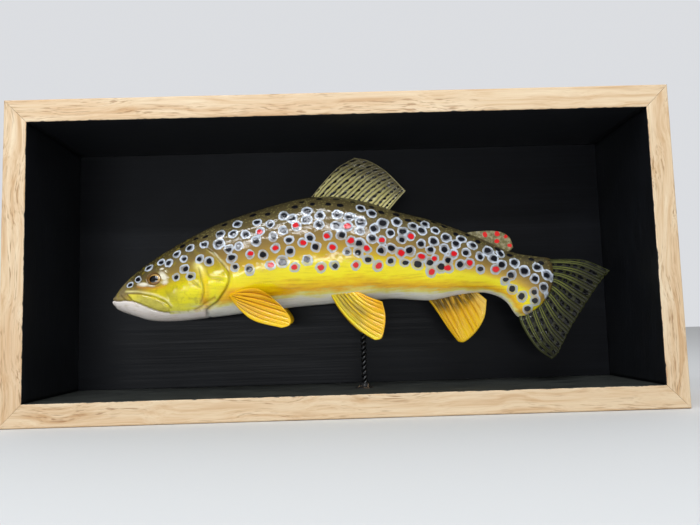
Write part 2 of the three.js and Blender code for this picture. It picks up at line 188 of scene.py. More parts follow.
def tubeFaces(rows, around, ends=None):
    # quads between rings of points, with "flat" ends, or a "fan" to each of two tips that come after the rings
    r, c = np.meshgrid(np.arange(rows - 1), np.arange(around), indexing="ij")
    after = (c + 1) % around
    quads = [r * around + c, r * around + after, (r + 1) * around + after, (r + 1) * around + c]
    faces = np.stack(quads, -1).reshape(-1, 4).tolist()
    last, tip = (rows - 1) * around, rows * around
    if ends == "flat":
        faces += [list(range(around))[::-1], list(range(last, tip))]
    if ends == "fan":
        for i in range(around):
            after = (i + 1) % around
            faces += [[tip, after, i], [tip + 1, last + i, last + after]]
    return faces


def turned(profile, count, lumpy=0.0):
    # rings turned about z, from radius and height
    points = []
    for radius, height in profile:
        for a in np.arange(count) * 2 * math.pi / count:
            lump = 1 + lumpy * noise.noise(Vector((math.cos(a) * 1.6, math.sin(a) * 1.6, radius)))
            points.append((radius * lump * math.cos(a), radius * lump * math.sin(a), height * lump))
    return np.array(points)


def makePiece(name, points, faces, material, replaced=(), fields=None, weld=0.0001, smooth=True):
    mesh = bpy.data.meshes.new(name)
    mesh.from_pydata((np.asarray(points) * mm).tolist(), [], faces)
    for label, values in (fields or {}).items():
        values = np.asarray(values, np.float32)
        kind, part = ("FLOAT", "value") if values.ndim == 1 else ("FLOAT_VECTOR", "vector")
        mesh.attributes.new(label, kind, "POINT").data.foreach_set(part, values.ravel())
    shape = bmesh.new()
    shape.from_mesh(mesh)
    bmesh.ops.remove_doubles(shape, verts=shape.verts, dist=weld * mm)
    bmesh.ops.recalc_face_normals(shape, faces=shape.faces)
    shape.to_mesh(mesh)
    shape.free()
    mesh.validate()
    mesh.polygons.foreach_set("use_smooth", [smooth] * len(mesh.polygons))
    mesh.materials.append(material)
    piece = bpy.data.objects.new(name, mesh)
    bpy.context.scene.collection.objects.link(piece)
    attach(piece, "root")
    if replaced:
        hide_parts(*replaced)
    print("made", name, len(mesh.vertices), "points", len(mesh.polygons), "faces")
    return piece


def boxOf(node):
    lo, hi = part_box(node)
    return np.array(lo) / mm, np.array(hi) / mm


# camera, light and floor

view = {"place": (-0.34, -231.28, -21.14), "pitch": 5.542, "yaw": -0.762, "roll": -1.654, "lens": 34.42}
camera = bpy.data.objects.new("camera", bpy.data.cameras.new("camera"))
camera.data.lens = view["lens"]
camera.data.sensor_width = 36
camera.data.clip_start = 0.01
stand = Matrix.Translation(Vector(view["place"]) * mm)
for turn, axis in ((view["yaw"], "Z"), (90 + view["pitch"], "X"), (view["roll"], "Z")):
    stand = stand @ Matrix.Rotation(math.radians(turn), 4, axis)
camera.matrix_world = stand
bpy.context.scene.collection.objects.link(camera)
bpy.context.scene.camera = camera
bpy.context.scene.view_settings.view_transform = "Standard"

lampTint = "f3f8ff"
lamps = {  # place and size in mm, and watts
    "tubeHigh": ((-70, -330, 560), (520, 22), 1.38),
    "tubeMiddle": ((-70, -450, 490), (520, 22), 1.28),
    "counterEdge": ((-120, -640, -22), (460, 30), 0.85),
    "tubeLow": ((-70, -560, 390), (520, 22), 1.2),
}
for name, (at, (wide, high), watts) in lamps.items():
    light = bpy.data.objects.new(name, bpy.data.lights.new(name, "AREA"))
    light.data.shape = "RECTANGLE"
    light.data.size, light.data.size_y = wide * mm, high * mm
    light.data.energy = watts
    light.data.color = toLinear(lampTint)[:3]
    light.location = Vector(at) * mm
    light.rotation_euler = (-light.location).to_track_quat("-Z", "Y").to_euler()
    bpy.context.scene.collection.objects.link(light)

room = {"behind": 0.85, "ahead": 0.1, "tint": "eceef2"}  # brighter behind the box than in front of it
world = bpy.data.worlds.new("paleRoom")
world.use_nodes = True
add = partial(addNode, world.node_tree)
way = add("SeparateXYZ", None, add("TexCoord").outputs["Generated"])
glow = add("MapRange", "SMOOTHSTEP", way.outputs["Y"], -0.9, 0.5, room["ahead"], room["behind"])
joinUp(world.node_tree.nodes["Background"], {"Color": room["tint"], "Strength": glow})
bpy.context.scene.world = world

floorLook = {"drop": 46.05, "reach": 1600, "colour": "dcdcda", "scuffed": "c9c9c6", "scuffs": 0.08}
floorPaint, shader, add, *_ = newMaterial("matteEmulsionFloor", {}, Roughness=0.85)
scuffs = add("TexNoise", None, {"Scale": 40.0, "Detail": 4.0})
floorTone = layCoats(add, floorLook["colour"], [(floorLook["scuffed"], scuffs, floorLook["scuffs"])])
joinUp(shader, {"Base Color": floorTone})
floorMesh = bpy.data.meshes.new("floor")
reach, drop = floorLook["reach"] * mm, floorLook["drop"] * mm
corners = [(x * reach, y * reach, -drop) for x, y in ((-1, -1), (1, -1), (1, 1), (-1, 1))]
floorMesh.from_pydata(corners, [], [(0, 1, 2, 3)])
floorMesh.materials.append(floorPaint)
floor = bpy.data.objects.new("floor", floorMesh)
bpy.context.scene.collection.objects.link(floor)
print("camera, lights and floor set")


# oak boards, mitred, sanded outside and brushed black inside

boards = {
    "halfWide": 95.0,
    "halfHigh": 46.0,
    "thick": 6.6,
    "deep": 45.5,
    "mitreGap": 0.05,
    "outerEdge": 0.55,  # sanding has taken this much off the outer arrises
    "innerEdge": 0.4,
    "rearEdge": 0.15,
    "steps": 76,  # along each board
    "paintLap": 0.12,  # how far the black laps onto the front
    "sanding": 0.05,  # how far the sanded faces are from flat
}
oakLook = {
    "bands": [(0.3, "caa275"), (0.48, "e0c39c"), (0.7, "ead4b2")],
    "patch": "cfa273",
    "pore": "96683a",
    "fibre": "b98d57",
    # length along the grain and width across it in mm, and detail; real pores are 0.2 mm wide, drawn coarser
    # so that they show
    "noises": {"rings": (46, 1.5, 3), "patches": (60, 14, 2), "pores": (6, 0.42, 2), "poreBelts": (30, 3.2, 1),
               "fibres": (9, 0.22, 2)},
    "waver": 7.0,  # mm the grain wanders
    "black": [(0.3, "07080a"), (0.55, "101216"), (0.8, "24272c")],
    "dustAndLight": "828679",  # paler on the faces that look up inside the box: settled dust, and painted light from above
}


def oakMaterial():
    # Sanded bare oak: pale and matt with short brown pores along the grain. The inner faces are
    # brushed with black craft acrylic, thin at its edges.
    material, shader, add, *_ = newMaterial("sandedOakBlackInside", {}, Roughness=0.62, IOR=1.5)
    look = oakLook
    grain = add("Attribute", "grain").outputs["Vector"]
    paint = add("Attribute", "paint")
    warp = add("VectorMath", "MULTIPLY", grain, (0.04, 0.12, 0.12))
    warp = add("TexNoise", None, {"Vector": warp, "Scale": 1.0, "Detail": 1.0})
    warp = add("Math", "MULTIPLY", warp, look["waver"])
    waved = add("VectorMath", "ADD", grain, add("CombineXYZ", None, 0.0, warp, warp))
    laid = {}
    for seed, (word, (along, across, detail)) in enumerate(look["noises"].items()):
        spot = add("VectorMath", "MULTIPLY", waved, (1 / along, 1 / across, 1 / across))
        laid[word] = add("TexNoise", "4D", spot, seed + 1.0, 1.0, detail, 0.55)
    pores = softMask(add, (laid["pores"], 0.5, 0.68), (laid["poreBelts"], 0.42, 0.6))
    tone = layCoats(add, add("ValToRGB", look["bands"], laid["rings"]), [
        (look["patch"], (laid["patches"], 0.52, 0.75), 0.45),
        (look["pore"], pores, 0.7),
        (look["fibre"], (laid["fibres"], 0.45, 0.7), 0.22),
    ])

    wobble = add("TexNoise", None, {"Vector": grain, "Scale": 0.35, "Detail": 3.0})
    covered = softMask(add, (addUp(add, -0.6, (paint, 1.0), (wobble, 1.1)), -0.12, 0.12))
    strokes = add("VectorMath", "MULTIPLY", grain, (0.12, 1.6, 1.6))
    strokes = add("TexNoise", None, {"Vector": strokes, "Scale": 1.0, "Detail": 5.0, "Roughness": 0.65})
    facingUp = add("SeparateXYZ", None, add("NewGeometry").outputs["Normal"]).outputs["Z"]
    # faces that look up get paler streaks: settled dust, and painted light from above
    black = layCoats(add, add("ValToRGB", look["black"], strokes), [
        (look["dustAndLight"], (facingUp, 0.6, 0.95), (strokes, 0.32, 0.7), 0.3)])
    rough = add("MapRange", None, covered, 0.0, 1.0, 0.62, 0.44)
    height = addUp(add, 0.0, (pores, -0.6), (laid["fibres"], 0.35), (strokes, 0.5))
    bump = add("Bump", None, {"Strength": 0.35, "Distance": 0.00012, "Height": height})
    joinUp(shader, {"Base Color": layCoats(add, tone, [(black, covered)]), "Roughness": rough, "Normal": bump})
    return material


def boardProfile():
    # (across, out): across runs from the inner face to the outer, out from the wall to the front
    thick, deep = boards["thick"], boards["deep"]
    corners = ((0, 0, "rearEdge"), (thick, 0, "outerEdge"), (thick, deep, "outerEdge"), (0, deep, "innerEdge"))
    arcs = []
    for (a, d, edge), start in zip(corners, (180, 270, 0, 90)):
        r = boards[edge]
        turn = np.radians(np.linspace(start, start + 90, 6))
        arcs.append(np.c_[(a - r if a else r) + r * np.cos(turn), (d - r if d else r) + r * np.sin(turn)])
    loop = []
    for arc, after, rows in zip(arcs, arcs[1:] + arcs[:1], (5, 16, 5, 16)):  # enough for the waves left by sanding
        loop += [arc, np.linspace(arc[-1], after[0], rows + 2)[1:-1]]
    return np.vstack(loop)


def makeBoards(material):
    profile = boardProfile()
    across, out = profile.T
    runs = {"frame_top": (0, 1), "frame_bottom": (0, -1), "frame_left": (2, -1), "frame_right": (2, 1)}
    halves = {0: boards["halfWide"] - boards["thick"], 2: boards["halfHigh"] - boards["thick"]}
    for seed, (node, (axis, sign)) in enumerate(runs.items()):
        s = np.linspace(-1, 1, boards["steps"])[:, None]
        along = (s * (halves[axis] + across - boards["mitreGap"])).ravel()
        flatAcross, flatOut = np.tile(across, len(s)), np.tile(out, len(s))
        grain = np.c_[along, flatAcross + seed * 31, flatOut + seed * 57]
        points = np.empty((len(along), 3))
        points[:, axis], points[:, 1] = along, -flatOut
        # sanded faces are never dead flat
        worn = ease(flatAcross, 5.5, boards["thick"]) * np.abs(boards["sanding"] * unevenness(grain, 13, seed))
        points[:, 2 - axis] = sign * (halves[2 - axis] + flatAcross - worn)
        # how deep a point is inside the painted part: the inner face, and a lap over the front edge
        innerFace = (flatAcross < 0.02) & (flatOut < boards["deep"] - 0.1)
        paint = np.where(innerFace, 2.0, boards["paintLap"] - flatAcross)
        board = makePiece(node.replace("frame_", "") + "Board", points, tubeFaces(len(s), len(profile), "flat"),
                          material, [node], {"grain": grain, "paint": paint}, 0.001)
        # broad faces keep their own shading beside narrow rounded edges
        board.data.set_sharp_from_angle(angle=math.radians(50))
        board.modifiers.new("evenShade", "WEIGHTED_NORMAL").keep_sharp = True


makeBoards(oakMaterial())


# back panel: fibreboard, two brushed coats in front and one thin one behind

panelLook = {
    "front": "0a0b0e", "sheen": "15171b", "bloom": "1a1c21", "thin": "1a1512", "fibre": "6d5138", "dark": "3a2c20",
    "noises": {"strokes": ((40, 5, 0.5), 4, 0.6), "mottled": (1000 / 38, 5, 0.5), "fibres": (10 / 9, 4, 0.5)},
}


def panelMaterial():
    # Black craft acrylic brushed on fibreboard: dark satin with long fine stroke lines.
    look = panelLook
    material, shader, add, place, laid = newMaterial("brushedBlackAcrylic", look["noises"], IOR=1.49,
                                                     Specular_IOR_Level=0.16)
    strokes, mottled = laid["strokes"], laid["mottled"]
    front = layCoats(add, look["front"], [
        (look["sheen"], (strokes, 0.4, 0.8), 0.6), (look["bloom"], (mottled, 0.5, 0.75), 0.35)])
    rear = layCoats(add, look["thin"], [
        (look["fibre"], (mottled, 0.5, 0.66), (strokes, 0.35, 0.7), 0.7), (look["dark"], laid["fibres"], 0.3)])
    behind = softMask(add, (add("SeparateXYZ", None, place).outputs["Y"], -0.0012, -0.0006))
    rough = addUp(add, add("MapRange", None, strokes, 0.3, 0.7, 0.36, 0.52), (behind, 0.3))
    bump = add("Bump", None, {"Strength": 0.3, "Distance": 0.00008, "Height": strokes})
    joinUp(shader, {"Base Color": layCoats(add, front, [(rear, behind)]), "Roughness": rough, "Normal": bump})
    return material


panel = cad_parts["back_panel"]
panel.data.materials.clear()
panel.data.materials.append(panelMaterial())
print("back panel painted")


# the trout's body, one skin over its carved wood

trout = {
    # back [x, z], belly [x, z], half width, level of the widest point, bulge aft: snout to tail
    "slices": [
        (1.05, 1.45, 0.75, -1.6, 1.9, 0.50, -0.3),
        (2.2, 3.4, 1.7, -2.65, 2.9, 0.48, 0),
        (5.3, 6.8, 5.3, -4.25, 4.4, 0.46, 0),
        (12.6, 12.3, 12.3, -6.3, 6.1, 0.44, 0),
        (20.4, 17.1, 20.2, -6.6, 7.5, 0.43, 0),
        (30.2, 21.9, 30, -5.8, 8.7, 0.44, 0),
        (43.5, 26.4, 43, -4.7, 9.3, 0.45, 0),
        (61.5, 30.6, 60.5, -3.2, 9.3, 0.46, 0),
        (76, 29.2, 75, -2.3, 8.7, 0.47, 0),
        (88.3, 25.2, 86.5, -1.9, 7.6, 0.48, 0),
        (100.2, 21.7, 97, -2.5, 6.4, 0.50, 0),
        (112, 17, 107, -1.1, 5.0, 0.50, 0),
        (122.5, 11.9, 114.8, -0.8, 3.8, 0.50, 0.4),
        (129.6, 10.3, 120.2, -3.2, 2.9, 0.50, 1.4),
        (135, 9.2, 123.9, -8.3, 1.9, 0.50, 2.8),
        (135.5, 7.7, 125.4, -8.3, 1.1, 0.50, 3.4),
    ],
    "backRound": 1.9,
    "bellyRound": 2.25,
    "rows": 426,
    "around": 214,
    "headRows": 1.6,  # rows stand this much closer on the head
    "headEnds": 38.0,
    "carvedTo": 44,  # mm from the snout that the head's lines reach
    "tailFrom": 112,
    "noseReach": 0.3,
    "noseRows": 9,
    "eye": (14.4, 5.5),  # in the CAD, seen from the side
}
eyeSpot = {"x": 14.1, "z": 5.9, "long": 1.95, "high": 1.62, "dome": 0.62, "sunk": 0.32, "skirt": 0.75,
           "lap": 1.06}  # mm, and how much wider than its socket's rim the dome is

leftEye, rightEye = boxOf("eye_left"), boxOf("eye_right")
snout = np.array([
    (leftEye[0][0] + leftEye[1][0]) / 2 - trout["eye"][0],
    (leftEye[0][1] + rightEye[1][1]) / 2,
    (leftEye[0][2] + leftEye[1][2]) / 2 - trout["eye"][1],
])


def bodyCurve(points, t):
    # the curve the slices were lofted on: Catmull-Rom, with the pace set by the square root of each gap
    ends = np.vstack([2 * points[:1] - points[1:2], points, 2 * points[-1:] - points[-2:-1]])
    place = np.clip(t, 0, 1) * (len(points) - 1)
    i = np.minimum(np.floor(place).astype(int), len(points) - 2)
    w = (place - i)[:, None]
    a, b, c, d = (ends[i + k] for k in range(4))
    d0, d1, d2 = (np.maximum(((q - r) ** 2).sum(1), 1e-12)[:, None] ** 0.25 for q, r in ((b, a), (c, b), (d, c)))
    t1 = ((b - a) / d0 - (c - a) / (d0 + d1) + (c - b) / d1) * d1
    t2 = ((c - b) / d1 - (d - b) / (d1 + d2) + (d - c) / d2) * d1
    return b + t1 * w + (-3 * b + 3 * c - 2 * t1 - t2) * w ** 2 + (2 * b - 2 * c + t1 + t2) * w ** 3


def bodyPoints(t, angle):
    s = np.array(trout["slices"], float)
    flat = np.zeros(len(s))
    back = bodyCurve(np.c_[s[:, 0], flat, s[:, 1]], t)
    belly = bodyCurve(np.c_[s[:, 2], flat, s[:, 3]], t)
    girth = bodyCurve(s[:, 4:7], t)
    rise = back - belly
    height = np.linalg.norm(rise, axis=1)[:, None]
    rise = rise / height
    aft = np.c_[rise[:, 2], np.zeros(len(t)), -rise[:, 0]]
    power = 2 / np.where(np.sin(angle) > 0, trout["backRound"], trout["bellyRound"])
    side = np.sign(np.cos(angle)) * np.abs(np.cos(angle)) ** power
    up = np.sign(np.sin(angle)) * np.abs(np.sin(angle)) ** power
    share = girth[:, 1] + up * np.where(up > 0, 1 - girth[:, 1], girth[:, 1])
    points = belly + rise * share[:, None] * height + aft * (girth[:, 2] * 4 * share * (1 - share))[:, None]
    points[:, 1] = side * girth[:, 0]
    return points, share


def evenAngles(count):
    # angles that space points evenly round a tall oval
    angle = np.linspace(0, 2 * np.pi, 4001)
    pace = np.hypot(9 * np.sin(angle), 16 * np.cos(angle))
    travel = np.r_[0, np.cumsum((pace[1:] + pace[:-1]) / 2)]
    return np.interp(np.linspace(0, travel[-1], count, endpoint=False), travel, angle)


def evenRows(count):
    # values of t that put rows evenly along the body, closer on the head
    t = np.linspace(0, 1, 3001)
    s = np.array(trout["slices"], float)
    middle = (bodyCurve(s[:, [0, 1]], t) + bodyCurve(s[:, [2, 3]], t)) / 2
    step = np.linalg.norm(np.diff(middle, axis=0), axis=1)
    close = np.where(middle[1:, 0] < trout["headEnds"], trout["headRows"], 1.0)
    travel = np.r_[0, np.cumsum(step * close)]
    return np.interp(np.linspace(0, travel[-1], count), travel, t)


# Lines of the head, as x and z in mm from the snout, seen from the side.
headLines = {
    "mouth": [(-1.2, 0.1), (0.7, 0.0), (2.4, -0.3), (4.5, -0.2), (6.5, -0.4), (7.7, -0.6), (9.2, -1.2),
              (11.4, -2.2), (13.5, -3.1), (15.5, -3.8), (17.6, -4.2), (19.2, -4.3)],
    "lip": [(4.4, 2.5), (5.8, 2.4), (8.3, 2.3), (10.8, 2.0), (13.4, 1.5), (14.8, 1.1), (16.5, 0.4), (18.0, -0.3),
            (19.3, -1.9), (20.1, -2.8)],
    "lipShade": [(5.4, 1.9), (8.8, 1.75), (11.9, 1.1), (15.2, 0.1), (17.4, -1.2), (18.9, -2.4), (19.1, -3.5)],
    "foldA": [(3.2, 1.8), (3.9, 1.0), (4.6, 0.3), (5.5, -0.3)],
    "foldB": [(5.6, 1.8), (6.4, 0.8), (7.3, -0.3)],
    "preopercle": [(26.2, 11.2), (27.2, 9.8), (28.2, 8.5), (29.0, 7.2), (29.6, 5.9), (30.0, 4.2),
                   (30.1, 2.0), (30.1, 0.4), (29.3, -1.1)],
    "preopercleShade": [(27.6, 9.2), (28.2, 7.8), (28.6, 5.4), (29.1, 3.3), (29.2, 1.3), (28.7, -0.6), (27.8, -2.2)],
    "opercleFold": [(30.3, 8.3), (30.7, 6.6), (31.5, 5.6), (32.7, 5.3), (34.5, 5.1), (35.8, 4.5)],
    "lowFold": [(33.0, 0.2), (31.6, -0.7), (29.4, -1.9), (27.6, -3.1), (25.6, -3.9)],
    "gillEdge": [(29.6, 15.3), (30.8, 14.2), (32.3, 12.9), (33.7, 11.3), (35.0, 9.5), (36.3, 7.7), (36.9, 6.1),
                 (36.7, 4.2), (35.8, 2.3), (34.3, 0.3), (32.9, -1.3), (31.4, -2.3),
                 (29.8, -3.4), (29.3, -4.6), (29.1, -6.5)],
    "gillRim": [(31.4, 13.4), (32.8, 12.5), (34.1, 11.3), (35.4, 9.9), (36.4, 8.6), (37.2, 7.2)],
    "cheekFold": [(26.0, 5.0), (26.6, 4.4), (27.7, 3.4), (28.8, 2.4)],
    "whiteEdge": [(18.2, -4.6), (21.5, -4.6), (25.6, -4.5), (27.5, -4.0), (29.9, -3.8), (32.2, -3.0),
                  (36.5, -2.2), (41, -2.3)],
    "eyeLine": [(8.4, 4.2), (9.6, 3.9), (11.4, 3.5), (14.5, 3.3), (17.0, 3.7), (18.4, 4.4)],
}
maxillaOutline = [(5.9, 1.6), (8.8, 1.6), (11.9, 0.95), (15.2, -0.05), (17.3, -1.3), (18.6, -2.5), (18.8, -3.7),
                  (17.4, -4.0), (15.5, -3.6), (13.5, -2.9), (11.4, -2.0), (9.2, -1.0), (7.4, -0.3), (6.6, 0.5)]

tailSeam = [(134, 9.1), (134.6, 4.6), (132.8, 0), (129.6, -4.6), (123.8, -7.4)]

# Painted highlights round the eye, pale patches that also stand a little proud: x, z, half length, half height, lean,
# strength.
eyeHighlights = [(10.8, 4.35, 1.9, 0.6, -0.06, 1.0), (13.3, 3.9, 1.5, 0.36, -0.1, 0.8),
                (17.1, 6.6, 1.0, 1.75, 0.75, 0.9), (17.6, 4.8, 1.2, 0.8, 0.1, 0.7),
                (16.5, 8.8, 0.7, 0.35, 0.3, 0.8), (18.4, 6.2, 0.7, 0.35, -0.2, 0.6)]

# Heights in mm (negative is cut in), widths in mm, and the share of the line over which it fades in and out.
headCuts = [
    ("mouth", -0.4, 0.24), ("lip", 0.24, 0.5), ("lipShade", -0.14, 0.3), ("foldA", -0.16, 0.28),
    ("foldB", -0.16, 0.28), ("preopercle", 0.34, 0.7), ("preopercleShade", -0.24, 0.35),
    ("opercleFold", -0.16, 0.3), ("lowFold", -0.28, 0.35), ("cheekFold", -0.14, 0.3), ("eyeLine", -0.16, 0.4),
    ("gillRim", 0.14, 0.4),
]

# Ringed spots, laid in rows. Each row is its level (share of the body's height) and places in mm aft of the
# snout; r marks a red one.
spotRows = {
    0.90: "39 76 96",
    0.85: "34 45 53 60 80 87 92 99 107 119",
    0.80: "38 49 56 64 69 73 83 95 102 110 115 130",
    0.75: "34 42 46r 60 76 89 105 123 133",
    0.70: "53 57r 64 69 72r 80 85 91r 98 116",
    0.65: "37 40 45 50 76 88 94 101 108 112 119 126",
    0.60: "55 61 66r 70 79 82r 97 104r 129",
    0.55: "38 43r 51r 59r 73r 76 85 91 132",
    0.50: "47 55 63 68r 78r 82 88r 94r 98r 102 109r 117r 122",
    0.45: "39 72 75 96 106 112",
    0.40: "43 49r 53 60 78 85 89 93 100 102r 128.6",
    0.33: "56r 64r 68 74r 81r 97r 119.5 129.3",
    0.23: "122 125.1",
    0.16: "126.8",
}
headSpots = [(6.5, .75), (9.0, .76), (12.1, .86), (15.8, .84), (18.5, .76), (20.6, .83), (21.1, .53), (23.2, .72),
             (23.4, .60), (25.0, .82), (25.5, .48), (28.1, .64), (29.3, .79), (31.1, .58)]
backDashes = {
    0.97: "64 69 99",
    0.945: "35 44 58 74 80 87 94 102 109",
    0.905: "22 26 48 56 62 67 71 83 91 105 112 118 122 128 132",
    0.885: "30",
}
spotSizes = {
    "halo": 1.74,  # radius of the pale ring, outside
    "core": 0.98,
    "headHalo": 1.48,
    "headCore": 0.78,
    "dash": 0.8,
    "vary": 0.07,
    "wander": 0.35,  # mm a spot may sit off its row, and the share of it on the near and far sides
    "wanderShare": {-1: 0.6, 1: 2.4},
}
ringPlaces = np.random.default_rng(7)


def layOut(rows):
    for level, places in rows.items():
        for word in places.split():
            yield float(word.rstrip("r")), level, word.endswith("r")


def surfaceAt(table, x, level, side):
    # the point of the bare body at x and level on one side (-1 the near side)
    angle, points, share = table
    far = (points[..., 0] - x) ** 2 + ((share - level) * 30) ** 2
    far = np.where(np.sign(np.cos(angle)) * side >= 0, far, 1e9)
    return points[np.unravel_index(far.argmin(), far.shape)]


def spotFields(table, points, normals):
    # distances in mm to the nearest pale ring, black core and red core
    size, draw = spotSizes, ringPlaces
    halo, black, red = (np.full(len(points), 9.0) for _ in range(3))
    jobs = [(x, v, size["halo"], size["core"], "red" if isRed else "black") for x, v, isRed in layOut(spotRows)]
    jobs += [(x, v, size["headHalo"] * (0.8 if x < 10 else 1), size["headCore"], "head") for x, v in headSpots]
    jobs += [(x, v, 0, size["dash"], "dash") for x, v, _ in layOut(backDashes)]
    for side in (-1, 1):
        near = np.flatnonzero(points[:, 1] * side > -2.5)
        for x, level, haloSize, coreSize, kind in jobs:
            wander = draw.normal(0, 1, 2) * size["wander"] * size["wanderShare"][side]
            wander = np.clip(wander, -1.6, 1.6) * (0.15 if kind == "head" else 1)
            grow = 1 + np.clip(draw.normal(0, size["vary"]), -0.25, 0.25)
            squash, turn = draw.uniform(0.84, 1.0), draw.uniform(0, np.pi)
            offX, offZ = draw.normal(0, 0.13, 2)
            centre = surfaceAt(table, x + wander[0], np.clip(level + wander[1] / 34, 0.05, 0.995), side)
            close = near[(np.abs(points[near] - centre) < 5).all(1)]
            gap, out = points[close] - centre, normals[close]
            up = np.cross(out, [1.0, 0, 0])
            up = up / np.maximum(np.linalg.norm(up, axis=1), 1e-6)[:, None]
            a, b = gap[:, 0], (gap * up).sum(1) * side
            away = np.abs((gap * out).sum(1)) * 0.5
            ca, sa = math.cos(turn), math.sin(turn)
            if haloSize:
                oval = np.sqrt((a * ca + b * sa) ** 2 + ((b * ca - a * sa) / squash) ** 2 + away ** 2)
                halo[close] = np.minimum(halo[close], oval - haloSize * grow)
            stretch = 1.2 if kind == "dash" else 1.0
            core = np.sqrt(((a - offX) / stretch) ** 2 + ((b - offZ) / (squash * 0.94)) ** 2 + away ** 2)
            target = red if kind == "red" else black
            target[close] = np.minimum(target[close], core - coreSize * grow)
    return halo, black, red


def makeTrout(material):
    t, angle = evenRows(trout["rows"]), evenAngles(trout["around"])
    tGrid, aGrid = np.meshgrid(t, angle, indexing="ij")
    points, share = bodyPoints(tGrid.ravel(), aGrid.ravel())
    points, share = points.reshape(*tGrid.shape, 3), share.reshape(tGrid.shape)

    # round nose
    middle, reach = points[0].mean(0), trout["noseReach"]
    turns = np.linspace(math.pi / 2, 0, trout["noseRows"] + 1)[1:-1]
    nose = [middle + (points[0] - middle) * math.cos(k) ** 0.5 - [reach * math.sin(k), 0, 0] for k in turns]
    grid = np.concatenate([np.array(nose), points])
    flat = grid.reshape(-1, 3)
    rise = np.concatenate([np.repeat(share[:1], len(nose), 0), share]).ravel()
    x, y, z = flat.T

    # normals of the smooth body
    alongRing = np.roll(grid, -1, 1) - np.roll(grid, 1, 1)
    normals = np.cross(alongRing, np.gradient(grid, axis=0)).reshape(-1, 3)
    normals = normals / np.maximum(np.linalg.norm(normals, axis=1), 1e-9)[:, None]
    if (normals[:, 1] * y).sum() < 0:
        normals = -normals

    # carve the head
    facing = ease(np.abs(normals[:, 1]), 0.12, 0.5)
    onHead = x < trout["carvedTo"]
    hx, hz, faceOn = x[onHead], z[onHead], facing[onHead]
    faceOrNose = np.maximum(faceOn, 1 - ease(hx, 2.5, 5))
    near = {name: toLine(hx, hz, line) for name, line in headLines.items()}
    gill = near["gillEdge"][2]  # positive on the head's side
    plateDepth = inside(hx, hz, maxillaOutline)
    oval = np.hypot((hx - eyeSpot["x"]) / eyeSpot["long"], (hz - eyeSpot["z"]) / eyeSpot["high"])
    carve = 0.34 * ease(plateDepth, -0.12, 0.5)
    carve += 0.5 * np.where(gill > 0, np.exp(-gill / 4.2), 0) * ease(gill, -0.05, 0.3)
    carve -= 0.26 * hump(gill + 0.45, 0.45)
    carve += 0.26 * hump(oval - 1.2, 0.17) - 0.55 * (1 - ease(oval, 0.85, 1.12))
    carve += 0.25 * hump(oval - 1.9, 0.6) * ease(hz - eyeSpot["z"], 0, 2)
    for middleX, middleZ, long, high, _, strength in eyeHighlights:
        carve += 0.16 * strength * hump(np.hypot((hx - middleX) / long, (hz - middleZ) / high), 1.0)
    carve *= faceOn
    for name, height, width in headCuts:
        distance, along, _ = near[name]
        if name == "mouth":
            carve += height * hump(distance, width) * (1 - ease(along, 0.93, 1)) * faceOrNose
        else:
            carve += height * hump(distance, width) * ease(along, 0, 0.12) * (1 - ease(along, 0.88, 1)) * faceOn
    lift = -0.32 * hump(x - 29.4, 0.6) * (1 - ease(rise, 0.04, 0.13))
    lift[onHead] += carve
    # knife and sanding left the flanks a little uneven
    slow, quick = unevenness(flat / [1.9, 1, 1], 7.5, 3), unevenness(flat / [1.5, 1, 1], 2.6, 5)
    lift += (0.13 * slow + 0.035 * quick) * ease(x, 4, 10) * (1 - 0.5 * ease(x, 118, 130))
    carved = flat + normals * lift[:, None]

    # masks for the paint, from the same lines
    def overall(values, rest=0.0):
        full = np.full(len(x), rest)
        full[onHead] = values
        return full

    def lineMask(names, width, fade=0.12):
        mask = np.zeros(len(hx))
        for name, strength in names.items():
            distance, along, _ = near[name]
            tapered = ease(along, 0, fade) * (1 - ease(along, 1 - fade, 1))
            mask = np.maximum(mask, strength * hump(distance, width) * tapered)
        return overall(mask * faceOrNose)

    def smudge(middleX, middleZ, long, high, lean=0.0, strength=1.0):
        along = (x - middleX) * math.cos(lean) + (z - middleZ) * math.sin(lean)
        over = (z - middleZ) * math.cos(lean) - (x - middleX) * math.sin(lean)
        return strength * hump(np.hypot(along / long, over / high), 1.0) * facing

    # painted shade along the carved creases of the head, in the mouth line and under the gill cover's edge. The skin
    # is also darker along the tail's root.
    mouth = 0.6 * hump(near["mouth"][0], 0.2) * (1 - ease(near["mouth"][1], 0.96, 1))
    dark = lineMask({"lipShade": 0.4, "foldA": 0.6, "foldB": 0.45, "preopercleShade": 0.6, "opercleFold": 0.45,
                     "lowFold": 0.28, "cheekFold": 0.4}, 0.26)
    dark = np.maximum(dark, overall(np.maximum(mouth, 0.6 * hump(gill + 0.2, 0.26) * faceOn)))
    onTail = x > trout["tailFrom"]
    dark[onTail] = 0.6 * hump(toLine(x[onTail], z[onTail], tailSeam)[0], 0.9)
    ember = [lineMask({"eyeLine": 0.45, "lowFold": 0.4}, 0.55), smudge(29.6, -1.0, 1.3, 2.2, strength=0.85),
             smudge(37.6, 1.2, 3.2, 1.5, strength=0.75)]
    halo, black, red = spotFields((angle, points, share), flat, normals)
    fields = {
        "rise": rise, "aft": x, "halo": halo, "black": black, "red": red, "dark": dark,
        # cream: a painted highlight on the raised lip and gill rim; ridge: a pale stripe on the raised preopercle,
        # partly painted highlight
        "cream": lineMask({"lip": 0.85, "gillRim": 0.6}, 0.32),
        "ridge": lineMask({"preopercle": 1.0}, 1.1, 0.2),
        # painted highlights round the eye
        "white": np.max([smudge(*patch) for patch in eyeHighlights], 0),
        "ember": np.max(ember, 0),
        "head": overall(ease(gill, -0.3, 0.15)),
        # mm above the mouth line and the edge of the white throat
        "jaw": overall(np.where(hx < 18.4, -near["mouth"][2], -near["whiteEdge"][2]), 9.0),
        "plate": overall(ease(plateDepth, -0.1, 0.35) * faceOn),
        "olive": smudge(19.2, 1.0, 3.4, 2.0),
        "socket": overall(oval, 9.0),
    }
